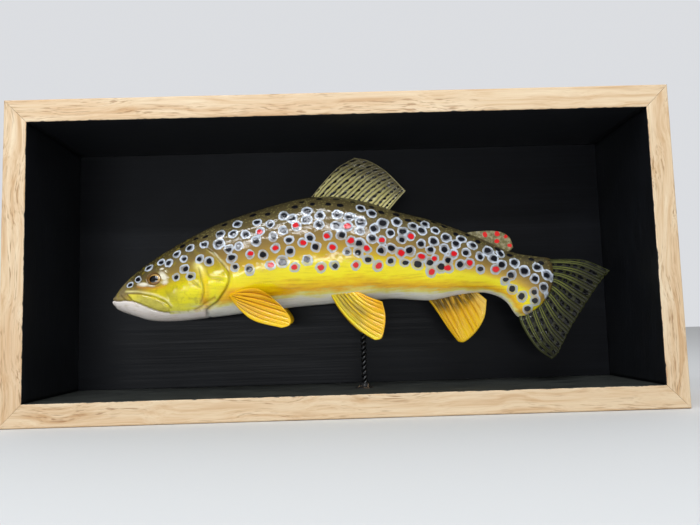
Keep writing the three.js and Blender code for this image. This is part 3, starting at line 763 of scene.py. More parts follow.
    # the same at the two points that close the nose and the tail
    tips = {"rise": (0.5, 0.5), "aft": (0, 135), "head": (1, 0), "jaw": (0, 9)}
    tips.update(dict.fromkeys(("halo", "black", "red", "socket"), (9, 9)))
    fields = {name: np.r_[values, tips.get(name, (0, 0))] for name, values in fields.items()}
    closed = np.vstack([carved, middle - [reach, 0, 0], points[-1].mean(0)])
    replaced = ["head", "lower_jaw", "maxilla_left", "maxilla_right", "gill_cover_left", "gill_cover_right",
                "trunk", "tail_stalk"]
    makePiece("troutSkin", closed + snout, tubeFaces(len(grid), len(angle), "fan"), material,
              replaced, fields, 0.0005)
    return points.reshape(-1, 3)


skinLook = {
    # levels run from the belly, 0, to the back, 1
    "body": [(0.0, "f2efe6"), (0.06, "f3efdf"), (0.10, "e9de72"), (0.14, "e4a80a"), (0.19, "efc400"),
             (0.26, "f4e000"), (0.35, "eedc14"), (0.43, "cfa82a"), (0.50, "ad8a36"), (0.60, "8d7139"),
             (0.70, "735f35"), (0.80, "64552f"), (0.89, "584d2e"), (1.0, "433c26")],
    "head": [(0.0, "ece7de"), (0.08, "ece5cc"), (0.13, "e0d850"), (0.22, "e4d800"), (0.33, "f2e200"),
             (0.44, "d6c010"), (0.53, "b0952c"), (0.62, "8a7136"), (0.74, "6a592f"),
             (0.86, "504424"), (1.0, "362f1a")],
    "jawWhite": "f7f3ec",
    "jawPink": "f0ded2",
    "plate": "c3b644",
    "plateBright": "e4d548",
    "snout": "978660",
    # cream: a painted highlight on the raised lip and gill rim; ridge: a pale stripe on the raised preopercle, partly
    # painted highlight
    "cream": "efe39a",
    "ridge": "fff08a",
    "ridgeLow": "f4cf10",
    # painted highlights round the eye
    "white": "efe6cc",
    "ember": "dc8404",
    # painted shade for the carved creases, the mouth line and the gill edge
    "line": "46350c",
    "olive": "8d8428",
    "mottle": "9c8a1a",
    "ringPale": "d3dae4",
    "ringGrey": "aab3bb",
    "ringWash": "7f899b",
    "coreBlack": "090a12",
    "coreRed": "d5101c",
    "scale": 0.95,  # mm between the stippled scales of the back
    "sheenHair": "fffced",  # brush streaks: paler ones a painted sheen, darker ones dull
    "dullHair": "b3ac70",
    "scaleDot": "a59a5c",
    # painted shade in the eye's sunk socket
    "socketShade": "6b4d1c",
    "noises": {"strokes": ((7, 0.7, 0.7), 4, 0.6), "clouds": (6, 3, 0.55), "fine": (0.6, 2, 0.55),
               "edge": (1.5, 1.5, 0.5), "dab": (1.6, 2, 0.55), "varnish": (2.2, 3, 0.55)},
}


def skinMaterial():
    # Artist's acrylics on sealed basswood under gloss varnish: opaque, saturated colour laid in lengthwise
    # strokes, dabbed rings that stand up a little, and sharp wet highlights.
    look = skinLook
    material, shader, add, place, laid = newMaterial(
        "acrylicUnderGlossVarnish", look["noises"], Roughness=0.5, IOR=1.45, Specular_IOR_Level=0.12,
        Coat_Weight=0.8, Coat_Roughness=0.05, Coat_IOR=1.5)
    kept = ("rise", "aft", "halo", "black", "red", "dark", "cream", "ridge", "white", "ember", "head", "jaw",
            "plate", "olive", "socket")
    on = {name: add("Attribute", name) for name in kept}
    rise, aft = on["rise"], on["aft"]
    strokes, clouds, fine, dab = (laid[word] for word in ("strokes", "clouds", "fine", "dab"))

    # body and head, with less white under the tail and a browner snout
    level = addUp(add, -0.11, (rise, 1.0), (strokes, 0.13), (clouds, 0.09))
    tone = add("ValToRGB", look["body"], addUp(add, level, (softMask(add, (aft, 96.0, 122.0)), 0.055)))
    headTone = add("ValToRGB", look["head"], addUp(add, level, (softMask(add, (aft, 20.0, 6.0)), 0.1)))
    jaw = addUp(add, -0.25, (on["jaw"], 1.0), (fine, 0.5))
    plate = add("MixRGB", "MIX", softMask(add, (aft, 11.0, 7.0)), look["plate"], look["plateBright"])
    headTone = layCoats(add, headTone, [
        (look["snout"], (aft, 8.5, 2.5), 0.75),
        (look["olive"], on["olive"], 0.6),
        (plate, on["plate"]),
        (add("MixRGB", "MIX", clouds, look["jawWhite"], look["jawPink"]), (jaw, 0.12, -0.2)),
        (look["mottle"], (dab, 0.5, 0.7), (jaw, -0.1, 0.4), 0.42),
    ])
    ridge = add("MixRGB", "MIX", softMask(add, (rise, 0.35, 0.6)), look["ridgeLow"], look["ridge"])
    tone = layCoats(add, tone, [
        (headTone, on["head"]),
        (look["ember"], on["ember"], 0.8),
        # pale paint on the raised preopercle, lip and gill rim: painted highlight, on the preopercle partly its own
        # pale colour
        (ridge, on["ridge"], 0.85),
        (look["cream"], on["cream"]),
        # painted highlights round the eye
        (look["white"], (addUp(add, on["white"], (fine, 0.3)), 0.25, 0.95)),
    ])
    # paler brush streaks carry a painted sheen, darker ones a duller tone
    tone = add("MixRGB", "SOFT_LIGHT", softMask(add, (strokes, 0.5, 0.72), 0.22), tone, look["sheenHair"])
    tone = add("MixRGB", "MULTIPLY", softMask(add, (strokes, 0.5, 0.3), 0.3), tone, look["dullHair"])

    # stippled scales over the back and upper flank
    cells = add("TexVoronoi", None, {"Vector": place, "Scale": 1 / (look["scale"] * mm)})
    scales = softMask(add, (cells, 0.42, 0.2), (rise, 0.62, 0.92))
    # the eye's sunk socket is darkened with painted shade
    tone = layCoats(add, tone, [
        # the dark lines are painted shade in the carved creases
        (look["scaleDot"], scales, 0.3), (look["line"], on["dark"], 0.85), (look["socketShade"], (on["socket"], 1.32, 1.08))])

    # ringed spots: a pale rim of thick paint round a thinner lilac-grey wash
    wobble = addUp(add, -0.475, (laid["edge"], 0.95))
    halo = add("Math", "ADD", on["halo"], wobble)
    ring, rim = softMask(add, (halo, 0.08, -0.08)), softMask(add, (halo, -0.75, -0.3))
    patchy = softMask(add, (dab, 0.34, 0.56))
    pale = softMask(add, (addUp(add, -0.2, (rise, 1.0), (clouds, 0.4)), 0.4, 0.78), patchy)
    rimTone = add("MixRGB", "MIX", pale, look["ringGrey"], look["ringPale"])
    ringTone = add("MixRGB", "MIX", rim, look["ringWash"], rimTone)
    ringCover = softMask(add, addUp(add, 0.55, (rim, 0.27)), addUp(add, 0.8, (patchy, 0.35)), ring)
    black, red = (softMask(add, (add("Math", "ADD", on[word], wobble), 0.07, -0.07)) for word in ("black", "red"))
    tone = layCoats(add, tone, [(ringTone, ringCover), (look["coreBlack"], black), (look["coreRed"], red)])

    height = addUp(add, 0.0, (ring, 0.5), (strokes, 0.35), (black, 0.35), (red, 0.45), (scales, 0.3), (fine, 0.18))
    bump = add("Bump", None, {"Strength": 0.55, "Distance": 0.00012, "Height": height})
    varnish = addUp(add, laid["varnish"], (height, 0.16))
    ripple = add("Bump", None, {"Strength": 0.4, "Distance": 0.00026, "Height": varnish})
    joinUp(shader, {"Base Color": tone, "Normal": bump, "Coat Normal": ripple})
    return material


bareBody = makeTrout(skinMaterial())
print("trout body carved and painted")

# eyes: domes painted gold with a black pupil

eyeLook = {"gold": "8f6424", "goldBright": "cfa860", "fleck": "8a5a1c", "rim": "6a3f14", "pupil": "050505",
           "pupilLong": 1.4, "pupilHigh": 1.08, "rings": 18, "around": 56}


def eyeMaterial():
    # Enamel dome under clear gloss: black pupil, gold ring with painted light, brighter above and behind.
    look = eyeLook
    material, shader, add, *_ = newMaterial("glossEnamelEye", {}, Roughness=0.2, IOR=1.5, Coat_Weight=1.0,
                                            Coat_Roughness=0.03)
    iris = add("Attribute", "iris").outputs["Vector"]
    speckle = add("TexNoise", None, {"Vector": iris, "Scale": 6.0, "Detail": 3.0})
    oval = add("VectorMath", "DIVIDE", iris, (look["pupilLong"], look["pupilHigh"], 1.0))
    oval = addUp(add, -0.08, (add("VectorMath", "LENGTH", oval).outputs["Value"], 1.0), (speckle, 0.16))
    # painted light: the gold ring is lighter above and behind
    lit = add("VectorMath", "DOT_PRODUCT", iris, (1.0, 1.2, 0.0)).outputs["Value"]
    tone = layCoats(add, look["gold"], [
        (look["goldBright"], (lit, -0.4, 1.6)),
        (look["fleck"], (speckle, 0.45, 0.75), 0.5),
        (look["rim"], (oval, 1.3, 1.55)),
        (look["pupil"], (oval, 1.08, 0.96)),
    ])
    joinUp(shader, {"Base Color": tone})
    return material


def makeEye(side, material):
    # a low dome set square to the skin round it, with a skirt that runs down into the socket
    look, spot = eyeLook, eyeSpot
    onSide = bareBody[bareBody[:, 1] * side > 0]
    near = onSide[np.hypot(onSide[:, 0] - spot["x"], onSide[:, 2] - spot["z"]) < 1.9]
    centre = near.mean(0)
    out = np.linalg.svd(near - centre)[2][2]
    out = out * (1 if out[1] * side > 0 else -1)
    lengthwise = np.array([1.0, 0, 0]) - out * out[0]
    lengthwise /= np.linalg.norm(lengthwise)
    upward = np.cross(out, lengthwise)
    upward = upward * (1 if upward[2] > 0 else -1)
    levels = np.linspace(0, 1, look["rings"] + 1)[1:]
    rises = np.r_[spot["dome"] * (1 - levels ** 2.2) - spot["sunk"], -spot["skirt"]][:, None, None]
    narrow = np.r_[np.ones(len(levels)), 0.97][:, None, None]
    levels = np.r_[levels, 1.0]
    turns = np.linspace(0, 2 * math.pi, look["around"], endpoint=False)
    a = spot["lap"] * spot["long"] * np.outer(levels, np.cos(turns))[..., None]
    b = spot["lap"] * spot["high"] * np.outer(levels, np.sin(turns))[..., None]
    rings = centre + lengthwise * a * narrow + upward * b * narrow + out * rises
    tips = [centre + out * (spot["dome"] - spot["sunk"]), centre - out * spot["skirt"]]
    iris = np.concatenate([a, b, 0 * a], -1).reshape(-1, 3)
    word = "Left" if side < 0 else "Right"
    makePiece("eye" + word, np.vstack([rings.reshape(-1, 3), tips]) + snout,
              tubeFaces(len(levels), len(turns), "fan"), material, ["eye_" + word.lower()],
              {"iris": np.vstack([iris, np.zeros((2, 3))])}, 0.0005)


enamel = eyeMaterial()
for side in (-1, 1):
    makeEye(side, enamel)

# fins: thin carved blades with cut rays

fins = {
    "dorsal_fin": {
        "root": [(60.2, 29.2), (73, 28.4), (85, 25.2)],
        "leading": [(60.2, 29.2), (64.3, 34.2), (69.5, 39.6), (75, 42.8)],
        "margin": [(75, 42.8), (79.6, 41.7), (85.4, 37.8), (90.8, 31.7)],
        "last": [(85, 25.2), (88, 28.8), (90.8, 31.7)],
        "bands": 9, "fan": 0.54, "thick": (1.9, 0.9), "paint": "dorsal", "sunk": 2.4, "notch": 0.0,
    },
    "adipose_fin": {
        "root": [(108, 17.4), (116, 14.2), (121.6, 11.4)],
        "leading": [(108, 17.4), (110.2, 18.3), (115.6, 18.6)],
        "margin": [(115.6, 18.6), (119.6, 18.2), (122.6, 16.4), (123.5, 13)],
        "last": [(121.6, 11.4), (122.6, 12.2), (123.5, 13)],
        "bands": 0, "fan": 1.0, "thick": (1.9, 1.0), "paint": "adipose", "sunk": 1.6, "notch": 0.0,
    },
    "caudal_fin": {
        "root": [(134, 9.1), (134.6, 4.6), (132.8, 0), (129.6, -4.6), (123.8, -7.4)],
        "leading": [(134, 9.1), (140.4, 9.1), (146.2, 8.4), (153.4, 5.1)],
        "margin": [(153.4, 5.1), (149.4, 0.7), (144.6, -5.7), (139.9, -12.6), (135.8, -19.6), (133.6, -21.6)],
        "last": [(123.8, -7.4), (125.2, -11.8), (129, -18), (133.6, -21.6)],
        "bands": 11, "fan": 0.95, "thick": (1.7, 0.8), "paint": "caudal", "sunk": 2.0, "notch": 0.028,
    },
    "anal_fin": {
        "root": [(95.4, -1), (104, -0.2), (110.8, 0.4)],
        "leading": [(95.4, -1), (98.4, -5.1), (102.4, -11.5), (105.2, -15.4)],
        "margin": [(105.2, -15.4), (107.3, -15.5), (110.9, -12.6), (113.6, -8.3), (114.5, -2.9)],
        "last": [(110.8, 0.4), (112.8, -1.3), (114.5, -2.9)],
        "bands": 10, "fan": 1.15, "thick": (1.9, 0.9), "paint": "anal", "sunk": 2.2, "notch": 0.008,
    },
    "pectoral_fin": {
        "root": [(37.4, -1.2), (37.2, 0), (37.6, 1.1)],
        "leading": [(37.4, -1.2), (40.7, -4.8), (45.1, -7.7), (52.6, -9.7)],
        "margin": [(52.6, -9.7), (54.9, -9), (55.2, -7), (52.6, -3.4), (48.4, 0.4)],
        "last": [(37.6, 1.1), (41.4, 2), (45.2, 1.9), (48.4, 0.4)],
        "bands": 7, "fan": 0.9, "thick": (1.9, 0.9), "paint": "pectoral", "out": (7.4, 14.2),
        "farShift": (-1.2, 0.85), "sunk": 1.6, "notch": 0.0,
    },
    "pelvic_fin": {
        "root": [(65.6, 1.5), (70, 1.1), (75, 0.6)],
        "leading": [(65.6, 1.5), (69.5, -5.2), (74.4, -10.7), (79.2, -14)],
        "margin": [(79.2, -14), (81.2, -13.6), (82.2, -10.8), (82.6, -7), (81.8, -2.9)],
        "last": [(75, 0.6), (78.2, -1.3), (81.8, -2.9)],
        "bands": 9, "fan": 0.7, "thick": (1.9, 0.9), "paint": "pelvic", "out": (4.4, 9.6),
        "sunk": 1.6, "notch": 0.006,
    },
}
oliveLook = {
    # places across are shares of a band; dots are in shares of a band and of the space between dots
    "dorsal": {
        "base": "6f6740", "pale": "cfc47c", "low": "b0a35a", "end": "5f573d", "mark": "0c0b09", "rim": "c4b983",
        "cells": 8.0, "dotWide": 0.2, "dotLong": 0.3, "dotAt": 0.16, "cuts": ((0.16, 1.0), (0.64, 0.75)),
        "ridges": (0.4, 0.86), "ridge": 0.95, "ridgeWide": 0.25, "outer": 0.8, "sway": 0.4, "glint": 1.0,
    },
    "caudal": {
        "base": "2a2d0c", "pale": "6a6e30", "low": "1d180a", "end": "2b2a17", "mark": "020202", "rim": "3a3c20",
        "cells": 6.6, "dotWide": 0.25, "dotLong": 0.34, "dotAt": 0.21,
        "cuts": ((0.43, 1.0), (0.7, 1.0), (0.985, 1.0)),
        "ridges": (0.57, 0.84), "ridge": 0.9, "ridgeWide": 0.12, "outer": 0.4, "sway": 0.1, "glint": 0.3,
    },
}
finCut = {
    "perBand": 15,
    "along": 46,
    "edgeRound": 0.55,  # mm
    # heights in mm of a ray's fine ridges on the olive fins, and of the broad soft ridges on the amber ones
    "fineRidge": 0.1, "fineCut": 0.13, "broadRidge": 0.36, "hairCut": 0.07,
}
rayLuck = np.random.default_rng(11)


def edgeCurve(points, t):
    # uniform Catmull-Rom with its ends held
    p = np.array(points, float)
    last = len(p) - 1
    place = t * last
    i = np.minimum(np.floor(place).astype(int), last - 1)
    w = (place - i)[:, None]
    a, b = p[np.maximum(i - 1, 0)], p[i]
    c, d = p[i + 1], p[np.minimum(i + 2, last)]
    v0, v1 = (c - a) / 2, (d - b) / 2
    return (2 * b - 2 * c + v0 + v1) * w ** 3 + (-3 * b + 3 * c - 2 * v0 - v1) * w ** 2 + v0 * w + b


def finPlan(design, u, v):
    # the patch between the four edges
    u, v = u[:, None], v[:, None]
    root, margin = edgeCurve(design["root"], u[:, 0]), edgeCurve(design["margin"], u[:, 0])
    leading, last = edgeCurve(design["leading"], v[:, 0]), edgeCurve(design["last"], v[:, 0])
    corners = [np.array(design[k][i]) for k, i in (("root", 0), ("root", -1), ("margin", 0), ("margin", -1))]
    flat = corners[0] * (1 - u) * (1 - v) + corners[1] * u * (1 - v) + corners[2] * (1 - u) * v + corners[3] * u * v
    return root * (1 - v) + margin * v + leading * (1 - u) + last * u - flat


def raySwell(paint, phase, band, v, luck):
    # how far a ray's carving stands out or is cut in, in mm, and how deep in a groove a point is, 0 to 1
    near = lambda at, width: hump(phase - at, width) + hump(phase - at - 1, width) + hump(phase - at + 1, width)
    fade = ease(v, -0.05, 0.08)
    if paint in ("dorsal", "caudal"):
        look = oliveLook[paint]
        cuts = sum(near(at, 0.05) * strength for at, strength in look["cuts"])
        ridges = sum(near(at, look["ridgeWide"] * 0.75) for at in look["ridges"])
        return (finCut["fineRidge"] * ridges - finCut["fineCut"] * cuts) * fade, np.clip(cuts, 0, 1)
    depth, start, stop, shift = (luck[band % len(luck), k] for k in range(4))
    groove = near(0.0, 0.17) * depth * (1 - ease(v, stop, stop + 0.35) * 0.75) * ease(v, start - 0.12, start)
    hair = near(0.45 + shift, 0.07) * ease(v, start, start + 0.25) * (0.4 + depth * 0.6)
    swell = finCut["broadRidge"] * (0.35 * np.sin(np.pi * phase) - groove) - finCut["hairCut"] * hair
    return swell * fade, np.clip(np.maximum(groove, hair * 0.6), 0, 1)


def makeFin(node, design, side, material):
    bands, paint = design["bands"], design["paint"]
    edge = np.array([0.004, 0.012, 0.024])
    u = np.unique(np.r_[np.linspace(0, 1, max(bands, 5) * finCut["perBand"] + 1), edge, 1 - edge])
    v = np.unique(np.r_[np.linspace(0, 1, finCut["along"]), 1 - edge])
    along, across = np.meshgrid(np.r_[-1.0, -0.5, v], u, indexing="ij")  # the first two rows are in the body
    shape, held, deep = along.shape, np.clip(along, 0, 1), np.clip(-along, 0, 1)
    rays = across * max(bands, 1)
    phase, band = rays % 1, np.floor(rays).astype(int)
    ranges = ((0.45, 1.0), (-0.1, 0.3), (0.35, 0.95), (-0.12, 0.12))
    luck = np.stack([rayLuck.uniform(low, high, 16) for low, high in ranges], 1)
    swell, groove = raySwell(paint, phase, band, held, luck) if bands else (np.zeros(shape), np.zeros(shape))
    # rays spread towards the margin, and end in a slightly ragged edge
    fanned = (across ** (1 + (design["fan"] - 1) * held)).ravel()
    ragged = hump(phase - 0.985, 0.12) + hump(phase + 0.015, 0.12) + 0.6 * hump(phase - 0.43, 0.1)
    ragged = ragged * ease(across, 0.01, 0.05) * (1 - ease(across, 0.95, 0.99))
    plan = finPlan(design, fanned, (held * (1 - design["notch"] * ragged)).ravel())
    away = finPlan(design, fanned, np.zeros(fanned.size)) - finPlan(design, fanned, np.full(fanned.size, 0.06))
    away = away / np.maximum(np.linalg.norm(away, axis=1), 1e-6)[:, None]
    grid = (plan + away * (deep.ravel() * design["sunk"])[:, None]).reshape(*shape, 2)
    free = np.min([np.linalg.norm(grid - rim, axis=2) for rim in (grid[:, :1], grid[:, -1:], grid[-1:])], 0)
    roundOff = np.sqrt(1 - (1 - np.clip(free / finCut["edgeRound"], 0, 1)) ** 2)
    rootThick, edgeThick = design["thick"]
    half = (rootThick + (edgeThick - rootThick) * ease(held, -0.2, 0.7)) / 2
    half = np.maximum(half + swell * ease(free, 0.2, 1.2), 0.12) * roundOff
    bow = 0.22 * np.sin(3.1 * across + 0.6) * held + 0.12 * np.sin(9 * across + 2 * held) * held
    outRoot, outMargin = design.get("out", (0, 0))
    out = side * (outRoot + (outMargin - outRoot) * held - deep * 1.2) + bow
    shiftX, shiftZ = design.get("farShift", (0, 0)) if side > 0 else (0, 0)
    x, z = grid[..., 0] + shiftX, grid[..., 1] + shiftZ
    rings = np.concatenate([np.stack([x, out - half, z], -1), np.stack([x, out + half, z], -1)[:, ::-1]], 1)
    around = rings.shape[1]
    faces = tubeFaces(shape[0], around)
    marginRow = (shape[0] - 1) * around
    for i in range(shape[1] - 1):
        faces.append([i + 1, i, around - 1 - i, around - 2 - i])
        faces.append([marginRow + k for k in (i, i + 1, around - 2 - i, around - 1 - i)])
    fields = {"across": rays, "along": along, "edge": free, "groove": groove, "share": across,
              "plan": np.stack([grid[..., 0], 0 * free, grid[..., 1]], -1)}
    for label, values in fields.items():  # the same on both faces
        values = np.concatenate([values, values[:, ::-1]], 1)
        fields[label] = values.reshape(-1, *values.shape[2:])
    name = node.replace("_fin", "Fin")
    if "out" in design:
        word = "Left" if side < 0 else "Right"
        name, node = name + word, node + "_" + word.lower()
    makePiece(name, rings.reshape(-1, 3) + snout, faces, material, [node], fields, 0.003)


def oliveMaterial(name, look):
    # The body's acrylic and varnish over burnt-in rays: flat olive bands with rows of black dashes, and pairs of
    # paler ridges between fine dark cuts.
    patterns = {"fine": (0.6, 3, 0.5), "clouds": (4.0, 3, 0.5), "glaze": (1.5, 1, 0.5)}
    material, shader, add, _, laid = newMaterial(
        name, patterns, Roughness=0.5, IOR=1.45, Specular_IOR_Level=0.06, Coat_Weight=0.7, Coat_Roughness=0.07,
        Coat_IOR=1.5)
    across, along, edge = (add("Attribute", word) for word in ("across", "along", "edge"))
    fine, clouds = laid["fine"], laid["clouds"]
    bent = addUp(add, -0.06 - look["sway"] / 2, (across, 1.0), (fine, 0.12), (clouds, look["sway"]))
    phase, band = add("Math", "FRACT", bent), add("Math", "FLOOR", bent)

    def fromRay(at):
        return add("Math", "ABSOLUTE", add("Math", "SUBTRACT", phase, at))

    coats = [(look["pale"], (fromRay(at), look["ridgeWide"], 0.03), (along, 0.9, 0.25), look["ridge"])
             for at in look["ridges"]]
    coats += [(look["low"], (along, 0.14, 0.0)), (look["end"], (along, 0.5, 0.95), look["outer"])]
    coats += [(look["mark"], (fromRay(at), 0.06, 0.015), 0.8 * strength) for at, strength in look["cuts"]]
    # one row of dashes to a band, each band out of step with the next
    run = addUp(add, -0.35, (along, look["cells"]), (add("TexWhiteNoise", "1D", band), 1.0), (clouds, 0.7))
    cell = addUp(add, -0.5 / look["dotLong"], (add("Math", "FRACT", run), 1 / look["dotLong"]))
    beside = addUp(add, -look["dotAt"] / look["dotWide"], (phase, 1 / look["dotWide"]))
    oval = addUp(add, -0.8, (cell, cell), (beside, beside), (fine, 1.6))
    dash = softMask(add, (oval, 1.15, 0.8), (along, 0.98, 0.9), (along, 0.02, 0.08))
    coats += [(look["mark"], dash), (look["rim"], (edge, 0.55, 0.2), 0.8)]
    tone = layCoats(add, look["base"], [(look["end"], (clouds, 0.3, 0.7)), *coats])
    height = addUp(add, 0.0, (dash, 0.5), (fine, 0.6))
    bump = add("Bump", None, {"Strength": 0.6, "Distance": 0.00014, "Height": height})
    ripple = add("Bump", None, {"Strength": look["glint"], "Distance": 0.0009, "Height": laid["glaze"]})
    joinUp(shader, {"Base Color": tone, "Normal": bump, "Coat Normal": ripple})
    return material


amberLook = {
    # smudge: where along and across the fin a greyish wash lies (start, end of each); burn: the colour of grooves
    "pectoral": {
        "base": "eeb400", "tip": "f3bd08", "front": "f2cf14", "rear": "efaa06", "burn": "8f5206", "line": "c77d06",
        "burnEnds": 0.62, "cutShare": 0.9, "smudge": "b98f4a", "smudgeShare": 0.3,
        "smudgeAlong": (0.15, 0.6), "smudgeAcross": (0.05, 0.5),
    },
    "pelvic": {
        "base": "f0c80e", "tip": "f0b80a", "front": "e9da2c", "rear": "eea40a", "burn": "7c6410", "line": "b98309",
        "burnEnds": 0.75, "cutShare": 0.72, "smudge": "93803a", "smudgeShare": 0.75,
        "smudgeAlong": (0.06, 0.62), "smudgeAcross": (0.12, 0.62),
    },
    "anal": {
        "base": "e6ac08", "tip": "f0c00c", "front": "e2b010", "rear": "ecc660", "burn": "5c4208", "line": "c98f12",
        "burnEnds": 0.5, "cutShare": 0.85, "smudge": "33290a", "smudgeShare": 0.9,
        "smudgeAlong": (0.03, 0.42), "smudgeAcross": (0.06, 0.9),
    },
}


def amberMaterial(name, look):
    # Amber acrylic washed into cut rays under gloss varnish: crests with painted highlight, orange-brown grooves, a
    # smoky wash near the root.
    material, shader, add, _, laid = newMaterial(
        name, {"fine": (0.5, 3, 0.5)}, Roughness=0.42, IOR=1.45, Specular_IOR_Level=0.15, Coat_Weight=0.8,
        Coat_Roughness=0.06, Coat_IOR=1.5)
    words = ("across", "along", "edge", "groove", "share")
    across, along, edge, groove, share = (add("Attribute", word) for word in words)
    fine = laid["fine"]
    rayWise = add("CombineXYZ", None, add("Math", "MULTIPLY", across, 2.2), add("Math", "MULTIPLY", along, 3.0), 0.0)
    clouds = add("TexNoise", None, {"Vector": rayWise, "Scale": 1.0, "Detail": 3.0})
    hairs = add("VectorMath", "MULTIPLY", rayWise, (3.0, 0.8, 1.0))
    hairs = add("TexNoise", None, {"Vector": hairs, "Scale": 1.0, "Detail": 3.0})
    smoke = [(clouds, 0.34, 0.54)]
    for field, (start, stop) in ((along, look["smudgeAlong"]), (share, look["smudgeAcross"])):
        smoke += [(field, start - 0.04, start + 0.08), (field, stop + 0.1, stop - 0.15)]
    deep = add("MixRGB", "MIX", softMask(add, (along, look["burnEnds"], 0.1)), look["line"], look["burn"])
    tone = layCoats(add, look["base"], [
        (look["tip"], (along, 0.3, 0.95)),
        (look["front"], (share, 0.3, 0.0)),
        (look["rear"], (share, 0.6, 1.0)),
        (look["line"], (hairs, 0.5, 0.68), 0.35),
        (look["smudge"], *smoke, look["smudgeShare"]),
        (deep, (addUp(add, -0.15, (groove, 1.0), (fine, 0.3)), 0.12, 0.85), look["cutShare"]),
        # crests painted brighter where the grooves are shallow: painted highlight
        (look["front"], (hairs, 0.5, 0.32), (groove, 0.3, 0.05), 0.5),
        (look["tip"], (edge, 0.7, 0.2), 0.6),
    ])
    bump = add("Bump", None, {"Strength": 0.6, "Distance": 0.00016, "Height": addUp(add, hairs, (fine, 0.4))})
    joinUp(shader, {"Base Color": tone, "Normal": bump, "Coat Normal": bump})
    return material


adiposeLook = {
    "base": "6f6640", "pale": "a09672", "low": "4f4727", "red": "e01f1a",
    # red dabs: x and z in mm from the snout, and radius
    "dabs": [(114.9, 17.3, 0.8), (118.7, 17.5, 0.8), (118.5, 15.2, 0.75), (121.3, 16.5, 0.6), (122.4, 13.7, 0.65)],
}


def adiposeMaterial():
    # Olive acrylic with dabs of red along the edge, under the same varnish.
    look = adiposeLook
    material, shader, add, _, laid = newMaterial(
        "oliveAcrylicRedDabs", {"fine": (0.9, 3, 0.5)}, Roughness=0.45, IOR=1.45, Specular_IOR_Level=0.3,
        Coat_Weight=0.7, Coat_Roughness=0.06, Coat_IOR=1.5)
    plan, fine, nearest = add("Attribute", "plan").outputs["Vector"], laid["fine"], 9.0
    for x, z, radius in look["dabs"]:
        away = add("VectorMath", "DISTANCE", plan, (x, 0, z)).outputs["Value"]
        nearest = add("Math", "MINIMUM", nearest, add("Math", "SUBTRACT", away, radius))
    dabs = softMask(add, (addUp(add, -0.35, (nearest, 1.0), (fine, 0.7)), 0.08, -0.08))
    tone = layCoats(add, look["base"], [
        (look["pale"], (fine, 0.4, 0.68)), (look["low"], (add("Attribute", "along"), 0.3, 0.0)), (look["red"], dabs)])
    bump = add("Bump", None, {"Strength": 0.6, "Distance": 0.00014, "Height": addUp(add, fine, (dabs, 0.6))})
    joinUp(shader, {"Base Color": tone, "Normal": bump, "Coat Normal": bump})
    return material


finPaint = {
    "dorsal": oliveMaterial("oliveAcrylicDorsal", oliveLook["dorsal"]),
    "caudal": oliveMaterial("oliveAcrylicTail", oliveLook["caudal"]),
    "adipose": adiposeMaterial(),
    "pectoral": amberMaterial("amberAcrylicPectoral", amberLook["pectoral"]),
    "pelvic": amberMaterial("amberAcrylicPelvic", amberLook["pelvic"]),
    "anal": amberMaterial("amberAcrylicAnal", amberLook["anal"]),
}
for node, design in fins.items():
    for side in ((-1, 1) if "out" in design else (0,)):
        makeFin(node, design, side, finPaint[design["paint"]])
print("fins carved and painted")

# twisted wire post and the glue round its foot

post = {
    "strand": 0.92, "apart": 0.46, "pitch": 3.1, "around": 14, "perTurn": 18, "floor": -39.4,
    # the collar's radius and height, top to bottom
    "collar": [(1.05, 1.5), (1.3, 1.25), (1.6, 0.75), (2.0, 0.35), (2.6, 0.12), (3.1, -0.15), (3.1, -0.6)],
    "collarAround": 40,
    "lumpy": 0.2,
}


def wireMaterial():
    # Annealed steel wire dipped in black enamel: dark, half glossy, with rubbed metal on the crowns.
    material, shader, add, _, laid = newMaterial("blackEnamelledWire", {"spots": (1.2, 4, 0.5)}, Roughness=0.38,
                                                 IOR=1.5, Coat_Weight=0.2, Coat_Roughness=0.2)
    tone = add("ValToRGB", [(0.3, "060607"), (0.62, "0c0c0e"), (0.78, "35322e")], laid["spots"])
    bump = add("Bump", None, {"Strength": 0.4, "Distance": 0.00008, "Height": laid["spots"]})
    joinUp(shader, {"Base Color": tone, "Normal": bump})
    return material


def makePost(material):
    lo, hi = boxOf("wire_post")
    foot, base = (lo + hi) / 2, lo[2] + 0.1
    steps = int((hi[2] - base) / post["pitch"] * post["perTurn"])
    z = np.linspace(base, hi[2], steps + 1)
    slope = 2 * math.pi * post["apart"] / post["pitch"]
    a = (np.arange(post["around"]) * 2 * math.pi / post["around"])[:, None]
    points, faces = [], []
    for strand in (0, math.pi):
        turn = 2 * math.pi * (z - base) / post["pitch"] + strand
        outward = np.stack([np.cos(turn), np.sin(turn), 0 * z], -1)
        tangent = np.stack([-slope * np.sin(turn), slope * np.cos(turn), 0 * z + 1], -1)
        tangent /= np.linalg.norm(tangent, axis=1)[:, None]
        ring = np.cos(a) * outward[:, None] + np.sin(a) * np.cross(tangent, outward)[:, None]
        centre = outward * post["apart"] + np.stack([0 * z + foot[0], 0 * z + foot[1], z], -1)
        faces += [[i + len(points) for i in face] for face in tubeFaces(steps + 1, len(a), "flat")]
        points += (centre[:, None] + post["strand"] / 2 * ring).reshape(-1, 3).tolist()
    makePiece("twistedWirePost", points, faces, material, ["wire_post"])
    return foot


